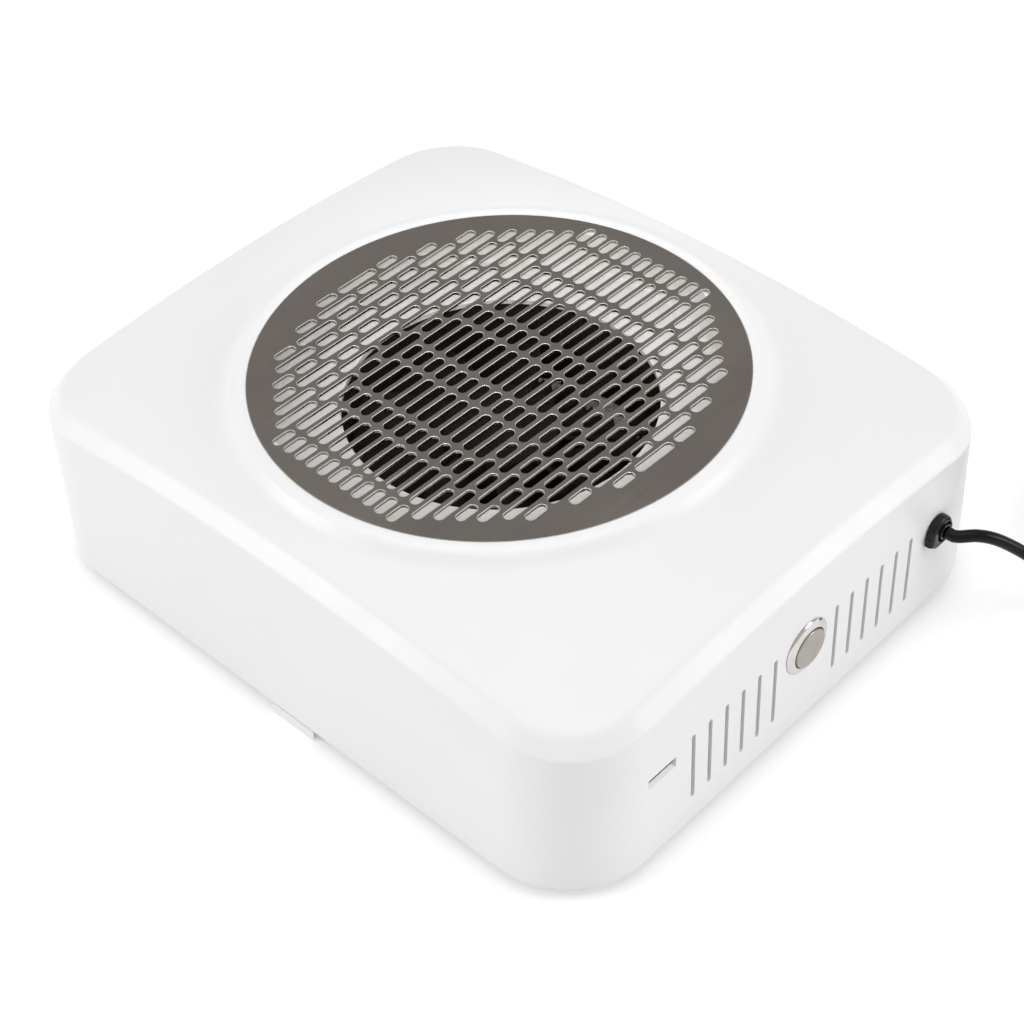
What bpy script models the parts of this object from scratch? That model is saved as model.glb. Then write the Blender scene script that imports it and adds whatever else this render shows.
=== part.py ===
"""Desktop nail dust collector: a white moulded housing with a loose round steel
grille over an axial fan, a pleated filter on a hatch underneath, a metal push
button and a mains cord.

Metres, +Z up. The origin is under the middle of the housing, on the table.
+X is the wall with the button and the vents, -Y the wall with the hatch tab.
"""

import math

import bmesh
import bpy
from mathutils import Matrix, Vector
from mathutils.geometry import convex_hull_2d, delaunay_2d_cdt, interpolate_bezier


# Clearances
GAP = 0.0003
CUT_OVERRUN = 0.0010

# Housing shell
HOUSING_LENGTH = 0.2960
HOUSING_WIDTH = 0.2480
WALL_SPLAY = 0.0025
TOP_CORNER_RADIUS = 0.0345
FOOT_CORNER_RADIUS = 0.0360
HOUSING_HEIGHT = 0.0895
TABLE_CLEARANCE = 0.0055
WALL = 0.0025
CREASE_DROP = 0.0051
DOME_RADIUS = 0.9225
EDGE_BAND = 0.0056
CORNER_STEPS = 6
LONG_SIDE_STEPS = 10
SHORT_SIDE_STEPS = 9

# Raised ring and the dish under the grille
GRILLE_CLEARANCE = 0.0004
LIP_WIDTH = 0.0066
LIP_RISE = 0.0006
SKIRT_WIDTH = 0.0090
SEAT_WIDTH = 0.0059
SEAT_THICKNESS = 0.0025
DISH_DRAFT = 0.0030
DISH_THICKNESS = 0.0022
DISH_FLANGE = 0.0029
FAN_OPENING_STEPS = 32

# Grille
GRILLE_THICKNESS = 0.0012
GRILLE_TURN_DEGREES = -0.9
GRILLE_RIM_POINTS = 52

# Button wall
VENT_COUNT = 6
VENT_WIDTH = 0.0020
WINDOW_LENGTH = 0.0143
WINDOW_HEIGHT = 0.0049
WINDOW_MOUTH_HEIGHT = 0.00375
WINDOW_RAMP_DEPTH = 0.0016

# Push button
BEZEL_RADIUS = 0.0115
BEZEL_THICKNESS = 0.0010
BEZEL_BEVEL = 0.0004
BARREL_RADIUS = 0.0092
BARREL_LENGTH = 0.0260
BUTTON_BORE_RADIUS = 0.0084
BUTTON_BORE_DEPTH = 0.0130
CAP_RADIUS = 0.0081
CAP_PROUD = 0.0010
CAP_BEVEL = 0.0004
CAP_THICKNESS = 0.0050
CAP_TRAVEL = 0.0018
SPRING_RADIUS = 0.0045
SPRING_WIRE = 0.0008
SPRING_TURNS = 3
NUT_ACROSS_FLATS = 0.0230
NUT_THICKNESS = 0.0040
SWITCH_BASE_RADIUS = 0.0075
SWITCH_BASE_LENGTH = 0.0060
TERMINAL_WIDTH = 0.0028
TERMINAL_THICKNESS = 0.0008
TERMINAL_LENGTH = 0.0065
TERMINAL_SPACING = 0.0080

# Cord strain relief
RELIEF_HEAD_WIDTH = 0.0140
RELIEF_HEAD_HEIGHT = 0.0146
RELIEF_HEAD_THICKNESS = 0.0034
RELIEF_HEAD_OFFSET = 0.0008
RELIEF_NECK_RADIUS = 0.0050
RELIEF_NECK_LENGTH = 0.0100
RELIEF_HOLE_RADIUS = 0.0053
RELIEF_SPOUT_RADIUS = 0.0036
RELIEF_SPOUT_SINK = 0.0020
RELIEF_SPOUT_TIP_RADIUS = 0.0031

# Axial fan
FAN_PLATE_BORDER = 0.0180
FAN_PLATE_CORNER = 0.0100
FAN_PLATE_THICKNESS = 0.0040
FAN_DUCT_WALL = 0.0030
FAN_SKIRT_THICKNESS = 0.0030
FAN_SKIRT_RAISE = 0.0005
FAN_SCREW_EDGE = 0.0060
STRUT_COUNT = 4
STRUT_WIDTH = 0.0060
STRUT_HEIGHT = 0.0040
CUP_RADIUS = 0.0215
BEARING_TUBE_OUTER = 0.0062
BEARING_TUBE_INNER = 0.0045
BEARING_HEIGHT = 0.0045
BEARING_WALL = 0.0020
SHAFT_RADIUS = 0.0018
SHAFT_END_PLAY = 0.0005
HUB_RADIUS = 0.0235
HUB_WALL = 0.0018
HUB_ROUND = 0.0025
HUB_CUP_CLEARANCE = 0.0010
BLADE_COUNT = 9
BLADE_TIP_CLEARANCE = 0.0014
BLADE_THICKNESS = 0.0016
BLADE_SWEEP_DEGREES = 30.0
BLADE_LEAN_DEGREES = 14.0
BLADE_STATIONS = 3
STATOR_RADIUS = 0.0195
STATOR_POLES = 6

# Screws
SCREW_RADIUS = 0.0015
SCREW_HEAD_RADIUS = 0.0032
SCREW_HEAD_HEIGHT = 0.0020
FAN_SCREW_LENGTH = 0.0110
BASE_SCREW_LENGTH = 0.0160
POST_RADIUS = 0.0046
POST_BORE_EXTRA_DEPTH = 0.0040
BASE_POST_INSET = 0.0240

# Base plate and feet
PLATE_THICKNESS = 0.0025
HATCH_CORNER = 0.0040
CHAMBER_WALL = 0.0025
CHAMBER_SLOT_COUNT = 3
CHAMBER_SLOT_LENGTH = 0.0300
CHAMBER_SLOT_PITCH = 0.0400
CHAMBER_SLOT_HEIGHT = 0.0036
FOOT_RADIUS = 0.0090
FOOT_STEM_RADIUS = 0.0030
FOOT_STEM_HEAD_RADIUS = 0.0042
FOOT_STEM_HEAD_HEIGHT = 0.0015
FOOT_EDGE_ROUND = 0.0010
FOOT_END_INSET = 0.0500
FOOT_SIDE_INSET = 0.0230

# Hatch, hinge and filter
HATCH_EDGE_GAP = 0.0008
HATCH_NOTCH_GAP = 0.0018
HATCH_THICKNESS = 0.0022
HATCH_RAIL_WIDTH = 0.0030
HATCH_RAIL_HEIGHT = 0.0048
KNUCKLE_RADIUS = 0.0030
KNUCKLE_HALF_LENGTH = 0.0500
LUG_WIDTH = 0.0080
HINGE_PIN_RADIUS = 0.0012
HINGE_PIN_CLEARANCE = 0.0003
TAB_WIDTH = 0.0225
TAB_X = 0.0053
TAB_THICKNESS = 0.0022
TAB_LIP = 0.0030
TAB_CORNER = 0.0020
TAB_TABLE_GAP = 0.0003
FILTER_END_SPACE = 0.0070
FILTER_SIDE_SPACE = 0.0115
FILTER_FRAME_WALL = 0.0030
PLEAT_SHEET = 0.0010
PLEAT_MARGIN = 0.0010
PLEAT_COUNT = 16

# Leads inside the housing
LEAD_RADIUS = 0.0013

# Mains cord, its coil and the plug
CORD_RADIUS = 0.0025
CORD_STEP = 0.0060
COIL_X = 0.1900
COIL_Y = 0.1800
COIL_MIDDLE_RADIUS = 0.0300
COIL_PITCH = 0.0062
COIL_START_DEGREES = -40.0
COIL_SPIRAL_TURNS = 3.25
COIL_CLIMB_TURNS = 0.5
COIL_POINTS_PER_TURN = 20
TIE_DEGREES = -85.0
TIE_WIDTH = 0.0060
TIE_THICKNESS = 0.0005
TIE_STEPS = 12
PLUG_WIDTH = 0.0356
PLUG_NECK_WIDTH = 0.0150
PLUG_THICKNESS = 0.0137
PLUG_LENGTH = 0.0350
PLUG_GRIP_RADIUS = 0.0042
PLUG_GRIP_LENGTH = 0.0120
PLUG_PIN_RADIUS = 0.0020
PLUG_PIN_LENGTH = 0.0190
PLUG_PIN_SPACING = 0.0186
PLUG_PIN_SEAT = 0.0040

# Shares of the housing that the grille, the fan opening and the hatch take
GRILLE_RADIUS_SHARE = 0.38306
FAN_OPENING_SHARE = 0.64211
HATCH_LENGTH_SHARE = 0.59459
HATCH_DEPTH_SHARE = 0.60484
SLOT_PITCH_SHARE = 0.063158
SLOT_WIDTH_SHARE = 0.66667
LONG_SLOT_SHARE = 3.16667
SHORT_SLOT_SHARE = 1.58333
SLOT_WEB_SHARE = 0.33333

# Shares of the housing's height, and of half its width on the button wall
DISH_DEPTH_SHARE = 0.18994
FAN_HEIGHT_SHARE = 0.42458
FILTER_HEIGHT_SHARE = 0.20112
BUTTON_HEIGHT_SHARE = 0.43464
VENT_HEIGHT_SHARE = 0.36872
VENT_CENTRE_SHARE = 0.32626
WINDOW_TOP_SHARE = 0.47598
VENT_FIRST_SHARE = 0.14568
VENT_PITCH_SHARE = 0.07407
RELIEF_SHARE = 0.65844
WINDOW_SHARE = 0.65185
# Shares of the fan's height
TUBE_HEIGHT_SHARE = 0.47368
HUB_HEIGHT_SHARE = 0.63158
BLADE_RISE_SHARE = 0.5
STATOR_HEIGHT_SHARE = 0.23684

# Heights and places that follow from the sizes above
HALF_X = HOUSING_LENGTH / 2
FOOT_HALF_Y = HOUSING_WIDTH / 2
TOP_HALF_Y = FOOT_HALF_Y - WALL_SPLAY
DISH_DEPTH = HOUSING_HEIGHT * DISH_DEPTH_SHARE
FAN_HEIGHT = HOUSING_HEIGHT * FAN_HEIGHT_SHARE
FILTER_HEIGHT = HOUSING_HEIGHT * FILTER_HEIGHT_SHARE
BUTTON_HEIGHT = TABLE_CLEARANCE + HOUSING_HEIGHT * BUTTON_HEIGHT_SHARE
VENT_HEIGHT = HOUSING_HEIGHT * VENT_HEIGHT_SHARE
VENT_CENTRE_HEIGHT = TABLE_CLEARANCE + HOUSING_HEIGHT * VENT_CENTRE_SHARE
VENT_FIRST = TOP_HALF_Y * VENT_FIRST_SHARE
VENT_PITCH = TOP_HALF_Y * VENT_PITCH_SHARE
RELIEF_Y = TOP_HALF_Y * RELIEF_SHARE
WINDOW_Y = -TOP_HALF_Y * WINDOW_SHARE
WINDOW_TOP = TABLE_CLEARANCE + HOUSING_HEIGHT * WINDOW_TOP_SHARE
BEARING_TUBE_HEIGHT = FAN_HEIGHT * TUBE_HEIGHT_SHARE
HUB_HEIGHT = FAN_HEIGHT * HUB_HEIGHT_SHARE
BLADE_RISE = FAN_HEIGHT * BLADE_RISE_SHARE
STATOR_HEIGHT = FAN_HEIGHT * STATOR_HEIGHT_SHARE
GRILLE_RADIUS = HOUSING_WIDTH * GRILLE_RADIUS_SHARE
FAN_OPENING_RADIUS = GRILLE_RADIUS * FAN_OPENING_SHARE
SLOT_PITCH = GRILLE_RADIUS * SLOT_PITCH_SHARE
SLOT_WIDTH = SLOT_PITCH * SLOT_WIDTH_SHARE
LONG_SLOT = SLOT_PITCH * LONG_SLOT_SHARE
SHORT_SLOT = SLOT_PITCH * SHORT_SLOT_SHARE
SLOT_WEB = SLOT_PITCH * SLOT_WEB_SHARE
HATCH_LENGTH = HOUSING_LENGTH * HATCH_LENGTH_SHARE
HATCH_DEPTH = HOUSING_WIDTH * HATCH_DEPTH_SHARE
FILTER_LENGTH = HATCH_LENGTH - 2 * FILTER_END_SPACE
FILTER_DEPTH = HATCH_DEPTH - 2 * FILTER_SIDE_SPACE
FAN_PLATE_HALF = FAN_OPENING_RADIUS + FAN_PLATE_BORDER
FAN_SCREW_PLACE = FAN_PLATE_HALF - FAN_SCREW_EDGE
BASE_POST_X = HALF_X - BASE_POST_INSET
BASE_POST_Y = FOOT_HALF_Y - BASE_POST_INSET - WALL_SPLAY / 2
FOOT_X = HALF_X - FOOT_END_INSET
FOOT_Y = FOOT_HALF_Y - FOOT_SIDE_INSET
GRILLE_TOP = TABLE_CLEARANCE + HOUSING_HEIGHT
SEAT_TOP = GRILLE_TOP - GRILLE_THICKNESS - GAP
RING_BOTTOM = SEAT_TOP - SEAT_THICKNESS
LIP_INNER = GRILLE_RADIUS + GRILLE_CLEARANCE
LIP_OUTER = LIP_INNER + LIP_WIDTH
SKIRT_OUTER = LIP_OUTER + SKIRT_WIDTH
DISH_TOP_RADIUS = LIP_INNER - SEAT_WIDTH
DISH_FLOOR_RADIUS = DISH_TOP_RADIUS - DISH_DRAFT
DISH_FLOOR = GRILLE_TOP - DISH_DEPTH
DISH_UNDERSIDE = DISH_FLOOR - DISH_THICKNESS
SLOT_STEP = LONG_SLOT / 2 + SLOT_WEB + SHORT_SLOT / 2
PLATE_BOTTOM = TABLE_CLEARANCE + GAP
PLATE_TOP = PLATE_BOTTOM + PLATE_THICKNESS
FAN_TOP = DISH_UNDERSIDE - GAP
FAN_BOTTOM = FAN_TOP - FAN_HEIGHT
FAN_PLATE_BOTTOM = FAN_TOP - FAN_PLATE_THICKNESS
DUCT_OUTER = FAN_OPENING_RADIUS + FAN_DUCT_WALL
CUP_FLOOR = FAN_BOTTOM + STRUT_HEIGHT
TUBE_TOP = CUP_FLOOR + BEARING_TUBE_HEIGHT
HUB_BOTTOM = CUP_FLOOR + HUB_CUP_CLEARANCE
HUB_TOP = HUB_BOTTOM + HUB_HEIGHT
FAN_SKIRT_BOTTOM = FAN_BOTTOM + FAN_SKIRT_RAISE
FAN_SKIRT_TOP = FAN_SKIRT_BOTTOM + FAN_SKIRT_THICKNESS
CHAMBER_TOP = FAN_SKIRT_BOTTOM - GAP
HATCH_TOP = PLATE_BOTTOM + HATCH_THICKNESS
FILTER_BOTTOM = HATCH_TOP + HATCH_RAIL_HEIGHT + GAP
FILTER_TOP = FILTER_BOTTOM + FILTER_HEIGHT
HINGE_Y = HATCH_DEPTH / 2 - KNUCKLE_RADIUS - HATCH_EDGE_GAP
HINGE_Z = PLATE_BOTTOM + KNUCKLE_RADIUS
RELIEF_FACE_X = HALF_X + GAP + RELIEF_HEAD_THICKNESS
COIL_HEIGHT = CORD_RADIUS + GAP + TIE_THICKNESS + GAP / 3

# How the ring's lip and skirt run, as shares of their width and rise
LIP_SHARES = ((0.0, -0.4), (0.16, 0.9), (0.50, 0.9), (0.79, 0.0), (1.0, -1.9))
SKIRT_SHARES = ((0.18, 0.62), (0.48, 0.22), (1.0, 0.0))
# The edge band between dome and wall, as shares of its width and rise
BAND_SHARES = ((1.60, 1.0), (1.12, 0.93), (0.80, 0.74), (0.0, -0.04))
# The dome between the ring and the band
DOME_SHARES = (0.5,)

# Slot rows outward from the middle of each column, and the columns that end
# in one more slot of the same kind
LONG_FIRST_COLUMNS = 5
COLUMN_ROWS = (6, 6, 6, 6, 6, 6, 4, 5, 5, 4, 4, 4, 3, 2)
EXTRA_SLOT_COLUMNS = (6, 9)

# Where the mains cord runs, from the strain relief to the coil and from the
# coil to the plug
CORD_EXIT = Vector((0.1530, RELIEF_Y, BUTTON_HEIGHT))
CORD_EXIT_HEADING = Vector((1.0, 0.0, 0.0))
CORD_ROUTE = (
    Vector((0.1575, 0.0816, 0.0442)),
    Vector((0.1593, 0.0834, 0.0443)),
    Vector((0.1614, 0.0858, 0.0441)),
    Vector((0.1652, 0.0903, 0.0421)),
    Vector((0.1692, 0.0951, 0.0382)),
    Vector((0.1746, 0.1009, 0.0320)),
    Vector((0.1810, 0.1076, 0.0236)),
    Vector((0.1880, 0.1153, 0.0146)),
    Vector((0.1960, 0.1248, 0.0066)),
    Vector((0.2045, 0.1349, 0.0036)),
    Vector((0.2120, 0.1438, COIL_HEIGHT)),
)
TAIL_ROUTE = (
    Vector((0.2286, 0.1638, 0.0092)),
    Vector((0.2332, 0.1704, 0.0081)),
    Vector((0.2366, 0.1782, 0.0070)),
    Vector((0.2382, 0.1860, 0.0069)),
)
PLUG_BACK = Vector((0.2385, 0.1930, PLUG_THICKNESS / 2))


def clear_scene():
    for item in list(bpy.data.objects):
        bpy.data.objects.remove(item, do_unlink=True)


def make_material(name, colour, metallic, roughness):
    material = bpy.data.materials.new(name)
    material.use_nodes = True
    shader = material.node_tree.nodes["Principled BSDF"]
    shader.inputs["Base Color"].default_value = (*colour, 1.0)
    shader.inputs["Metallic"].default_value = metallic
    shader.inputs["Roughness"].default_value = roughness
    material.diffuse_color = (*colour, 1.0)
    return material


def add_solid(name, points, faces, material=None):
    """A closed mesh object from points and faces, normals out."""
    mesh = bpy.data.meshes.new(name)
    shape = bmesh.new()
    corners = [shape.verts.new(point) for point in points]
    for face in faces:
        shape.faces.new([corners[index] for index in face])
    bmesh.ops.recalc_face_normals(shape, faces=shape.faces)
    shape.to_mesh(mesh)
    shape.free()
    solid = bpy.data.objects.new(name, mesh)
    bpy.context.collection.objects.link(solid)
    if material is not None:
        finish(solid, material)
    return solid


def finish(solid, material, sharp_degrees=32.0):
    solid.data.materials.clear()
    solid.data.materials.append(material)
    solid.data.shade_smooth()
    solid.data.set_sharp_from_angle(angle=math.radians(sharp_degrees))
    return solid


def loft(name, rows, material=None, ring=False):
    """Joins rows of equally many points. A ring closes the last row to the
    first, otherwise the end rows are capped."""
    count = len(rows[0])
    points = [point for row in rows for point in row]
    faces = []
    spans = len(rows) if ring else len(rows) - 1
    for span in range(spans):
        near = span * count
        far = ((span + 1) % len(rows)) * count
        for step in range(count):
            after = (step + 1) % count
            faces.append((near + step, near + after, far + after, far + step))
    if not ring:
        faces.append(tuple(reversed(range(count))))
        last = (len(rows) - 1) * count
        faces.append(tuple(last + step for step in range(count)))
    return add_solid(name, points, faces, material)


def turn(name, profile, steps, material=None, ring=True, axis="Z", centre=None):
    """A turned solid from (radius, height) pairs along an axis."""
    rows = []
    for radius, height in profile:
        row = []
        for step in range(steps):
            angle = math.tau * step / steps
            across = radius * math.cos(angle)
            beside = radius * math.sin(angle)
            if axis == "Z":
                point = Vector((across, beside, height))
            elif axis == "X":
                point = Vector((height, across, beside))
            else:
                point = Vector((beside, height, across))
            row.append(point + (centre or Vector()))
        rows.append(row)
    return loft(name, rows, material, ring)


def plate(name, outline, holes, low, high, material=None):
    """A flat plate with convex holes, between two heights."""
    loops = [outline] + holes
    corners = []
    edges = []
    owners = []
    for number, loop in enumerate(loops):
        start = len(corners)
        size = len(loop)
        corners += [Vector(point) for point in loop]
        owners += [number] * size
        edges += [(start + step, start + (step + 1) % size) for step in range(size)]
    result = delaunay_2d_cdt(corners, edges, [], 1, CUT_OVERRUN / 1000)
    count = len(corners)
    points = [Vector((c.x, c.y, low)) for c in corners]
    points += [Vector((c.x, c.y, high)) for c in corners]
    faces = []
    for triangle in result[2]:
        around = [result[3][index][0] for index in triangle]
        owner = {owners[index] for index in around}
        if len(owner) == 1 and 0 not in owner:
            continue
        faces.append(tuple(around))
        faces.append(tuple(count + index for index in around))
    for here, after in edges:
        faces.append((here, after, count + after, count + here))
    return add_solid(name, points, faces, material)


def block(name, low, high, material=None):
    """A box between two corners."""
    outline = [(low[0], low[1]), (high[0], low[1]), (high[0], high[1]), (low[0], high[1])]
    return plate(name, outline, [], low[2], high[2], material)


def combine(target, other, operation="DIFFERENCE"):
    """Cuts or joins with the exact solver and drops the helper."""
    other.hide_render = True
    other.display_type = "WIRE"
    modifier = target.modifiers.new(operation.title(), "BOOLEAN")
    modifier.operation = operation
    modifier.solver = "EXACT"
    modifier.object = other
    bpy.context.view_layer.update()
    evaluated = target.evaluated_get(bpy.context.evaluated_depsgraph_get())
    result = bpy.data.meshes.new_from_object(evaluated)
    result.name = target.name
    target.modifiers.clear()
    target.data = result
    bpy.data.objects.remove(other, do_unlink=True)
    return target


def set_origin(solid, place):
    """Moves the object's origin without moving its shape."""
    solid.data.transform(Matrix.Translation(-place))
    solid.location = place
    return solid


def attach(child, parent):
    bpy.context.view_layer.update()
    child.parent = parent
    child.matrix_parent_inverse = parent.matrix_world.inverted()


def circle(radius, steps, centre=(0.0, 0.0), turn_share=0.0):
    points = []
    for step in range(steps):
        angle = math.tau * (step + turn_share) / steps
        points.append((centre[0] + radius * math.cos(angle), centre[1] + radius * math.sin(angle)))
    return points


def rounded_rectangle(half_x, half_y, radius, steps, centre=(0.0, 0.0)):
    points = []
    for quarter in range(4):
        side_x = 1 if quarter in (0, 3) else -1
        side_y = 1 if quarter in (0, 1) else -1
        for step in range(steps + 1):
            angle = math.pi / 2 * (quarter + step / steps)
            x = side_x * (half_x - radius) + radius * math.cos(angle)
            y = side_y * (half_y - radius) + radius * math.sin(angle)
            points.append((centre[0] + x, centre[1] + y))
    return points


def smooth_route(route, step, start_heading=None, end_heading=None):
    """Points along a smooth curve through the route, about one step apart."""
    headings = []
    for index in range(len(route)):
        before = route[max(index - 1, 0)]
        after = route[min(index + 1, len(route) - 1)]
        headings.append((after - before).normalized())
    if start_heading is not None:
        headings[0] = start_heading
    if end_heading is not None:
        headings[-1] = end_heading
    dense = []
    for index in range(len(route) - 1):
        here = route[index]
        there = route[index + 1]
        reach = (there - here).length / 3
        samples = interpolate_bezier(
            here,
            here + headings[index] * reach,
            there - headings[index + 1] * reach,
            there,
            24,
        )
        dense.extend(samples if index == 0 else samples[1:])
    lengths = [0.0]
    for before, after in zip(dense, dense[1:]):
        lengths.append(lengths[-1] + (after - before).length)
    count = max(2, round(lengths[-1] / step))
    points = []
    cursor = 0
    for index in range(count + 1):
        wanted = lengths[-1] * index / count
        while cursor < len(lengths) - 2 and lengths[cursor + 1] < wanted:
            cursor += 1
        span = lengths[cursor + 1] - lengths[cursor]
        share = (wanted - lengths[cursor]) / span
        points.append(dense[cursor].lerp(dense[cursor + 1], share))
    return points


def route_length(points):
    return sum((after - before).length for before, after in zip(points, points[1:]))


def tube(name, points, radius, material, resolution):
    """A round tube along points, with closed ends."""
    curve = bpy.data.curves.new(name, "CURVE")
    curve.dimensions = "3D"
    curve.bevel_depth = radius
    curve.bevel_resolution = resolution
    curve.use_fill_caps = True
    line = curve.splines.new("POLY")
    line.points.add(len(points) - 1)
    for slot, point in zip(line.points, points):
        slot.co = (*point, 1.0)
    curve.materials.append(material)
    solid = bpy.data.objects.new(name, curve)
    bpy.context.collection.objects.link(solid)
    return solid


def crease_height(x, y):
    return GRILLE_TOP - CREASE_DROP - (x * x + y * y) / (2 * DOME_RADIUS)


def dome_height(x, y):
    return crease_height(x, y) + EDGE_BAND


def outline_points(half_x, half_y, radius):
    """The housing outline, corners first, with matching points at any size."""
    points = []
    for quarter in range(4):
        side_x = 1 if quarter in (0, 3) else -1
        side_y = 1 if quarter in (0, 1) else -1
        centre_x = side_x * (half_x - radius)
        centre_y = side_y * (half_y - radius)
        for step in range(CORNER_STEPS + 1):
            angle = math.pi / 2 * (quarter + step / CORNER_STEPS)
            points.append((centre_x + radius * math.cos(angle), centre_y + radius * math.sin(angle)))
        along_x = quarter in (0, 2)
        steps = LONG_SIDE_STEPS if along_x else SHORT_SIDE_STEPS
        reach = TOP_HALF_Y if along_x else HALF_X
        span = HALF_X - TOP_CORNER_RADIUS if along_x else TOP_HALF_Y - TOP_CORNER_RADIUS
        widest = math.atan2(span, reach)
        straight = half_x - radius if along_x else half_y - radius
        for step in range(1, steps):
            angle = widest * (1 - 2 * step / steps)
            place = straight * math.tan(angle) / math.tan(widest)
            if quarter == 0:
                points.append((place, half_y))
            elif quarter == 1:
                points.append((-half_x, place))
            elif quarter == 2:
                points.append((-place, -half_y))
            else:
                points.append((half_x, -place))
    return points


def top_outline(inset):
    return outline_points(HALF_X - inset, TOP_HALF_Y - inset, TOP_CORNER_RADIUS - inset)


def foot_outline(inset):
    return outline_points(HALF_X - inset, FOOT_HALF_Y - inset, FOOT_CORNER_RADIUS - inset)


def shell_rows():
    """The shell's section all round: ring, dome, edge band, wall and back."""
    headings = [Vector(point).normalized() for point in top_outline(0.0)]

    def circle_row(radius, height):
        return [Vector((h.x * radius, h.y * radius, height)) for h in headings]

    rows = []
    for width_share, rise_share in LIP_SHARES:
        rows.append(circle_row(LIP_INNER + LIP_WIDTH * width_share, GRILLE_TOP + LIP_RISE * rise_share))
    lip_end = GRILLE_TOP + LIP_RISE * LIP_SHARES[-1][1]
    for width_share, rise_share in SKIRT_SHARES:
        radius = LIP_OUTER + SKIRT_WIDTH * width_share
        ground = dome_height(radius, 0.0)
        rows.append(circle_row(radius, ground + (lip_end - ground) * rise_share))
    band_inner = top_outline(EDGE_BAND * BAND_SHARES[0][0])
    for share in DOME_SHARES:
        row = []
        for heading, outer in zip(headings, band_inner):
            flat = (heading * SKIRT_OUTER).lerp(Vector(outer), share)
            row.append(Vector((flat.x, flat.y, dome_height(flat.x, flat.y))))
        rows.append(row)
    for width_share, rise_share in BAND_SHARES:
        row = []
        for x, y in top_outline(EDGE_BAND * width_share):
            row.append(Vector((x, y, crease_height(x, y) + EDGE_BAND * rise_share)))
        rows.append(row)
    rows.append([Vector((x, y, TABLE_CLEARANCE)) for x, y in foot_outline(0.0)])
    rows.append([Vector((x, y, TABLE_CLEARANCE)) for x, y in foot_outline(WALL)])
    rows.append([Vector((x, y, crease_height(x, y) - WALL / 2)) for x, y in top_outline(WALL)])
    inner_band = top_outline(EDGE_BAND + WALL)
    rows.append([Vector((x, y, dome_height(x, y) - WALL - WALL / 4)) for x, y in inner_band])
    under_skirt = SKIRT_OUTER - WALL
    rows.append(circle_row(under_skirt, dome_height(under_skirt, 0.0) - WALL))
    rows.append(circle_row(LIP_OUTER, RING_BOTTOM))
    rows.append(circle_row(LIP_INNER, RING_BOTTOM))
    return rows


def corners_of(x, y):
    return ((x, y), (-x, y), (-x, -y), (x, -y))


def make_post(x, y, foot, head, screw_reach):
    """A screw post with a blind bore from its foot."""
    bore = SCREW_RADIUS + GAP
    bore_top = foot + screw_reach + POST_BORE_EXTRA_DEPTH
    centre = Vector((x, y, 0.0))
    post = turn("post", [(POST_RADIUS, foot), (POST_RADIUS, head)], 9, ring=False, centre=centre)
    drill = turn("drill", [(bore, foot - CUT_OVERRUN), (bore, bore_top)], 6, ring=False, centre=centre)
    return combine(post, drill)


def vent_slot(y):
    """A cutter for one upright vent with round ends."""
    reach = VENT_WIDTH / 2
    straight = VENT_HEIGHT / 2 - reach
    outline = []
    for end in (1, -1):
        for step in range(3):
            angle = math.pi * step / 2
            across = end * reach * math.cos(angle)
            up = end * (straight + reach * math.sin(angle))
            outline.append((across, up))
    rows = []
    for x in (HALF_X - WALL - CUT_OVERRUN, HALF_X + CUT_OVERRUN):
        rows.append([Vector((x, y + across, VENT_CENTRE_HEIGHT + up)) for across, up in outline])
    return loft("vent", rows)


def wall_bore(y, z, radius, steps):
    """A cutter for a round hole in the button wall."""
    profile = [(radius, HALF_X - WALL - CUT_OVERRUN), (radius, HALF_X + CUT_OVERRUN)]
    return turn("bore", profile, steps, ring=False, axis="X", centre=Vector((0.0, y, z)))


def build_housing(material):
    shell = loft("housing_shell", shell_rows(), ring=True)
    for x, y in corners_of(BASE_POST_X, BASE_POST_Y):
        head = dome_height(x, y) - WALL / 2
        foot = PLATE_TOP + GAP
        reach = BASE_SCREW_LENGTH - PLATE_THICKNESS
        combine(shell, make_post(x, y, foot, head, reach), "UNION")
    for x, y in corners_of(FAN_SCREW_PLACE, FAN_SCREW_PLACE):
        head = dome_height(abs(x) + POST_RADIUS, abs(y))
        reach = FAN_SCREW_LENGTH - FAN_PLATE_THICKNESS
        combine(shell, make_post(x, y, FAN_TOP + GAP, head, reach), "UNION")
    for side in (-1, 1):
        for index in range(VENT_COUNT):
            combine(shell, vent_slot(side * (VENT_FIRST + VENT_PITCH * index)))
    combine(shell, wall_bore(0.0, BUTTON_HEIGHT, BARREL_RADIUS + GAP, 24))
    combine(shell, wall_bore(RELIEF_Y, BUTTON_HEIGHT, RELIEF_HOLE_RADIUS, 16))
    combine(shell, window_cutter())
    return finish(shell, material)


def window_cutter():
    """The slot beside the button: open under its upper edge, with a ramp below."""
    inside = HALF_X - WALL - CUT_OVERRUN
    outside = HALF_X + CUT_OVERRUN
    ramp_top = WINDOW_TOP - WINDOW_MOUTH_HEIGHT
    section = (
        (outside, WINDOW_TOP),
        (inside, WINDOW_TOP),
        (inside, ramp_top),
        (HALF_X - WINDOW_RAMP_DEPTH, ramp_top),
        (HALF_X, WINDOW_TOP - WINDOW_HEIGHT),
        (outside, WINDOW_TOP - WINDOW_HEIGHT),
    )
    ends = (WINDOW_Y - WINDOW_LENGTH / 2, WINDOW_Y + WINDOW_LENGTH / 2)
    rows = [[Vector((x, y, z)) for x, z in section] for y in ends]
    return loft("window", rows)


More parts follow.
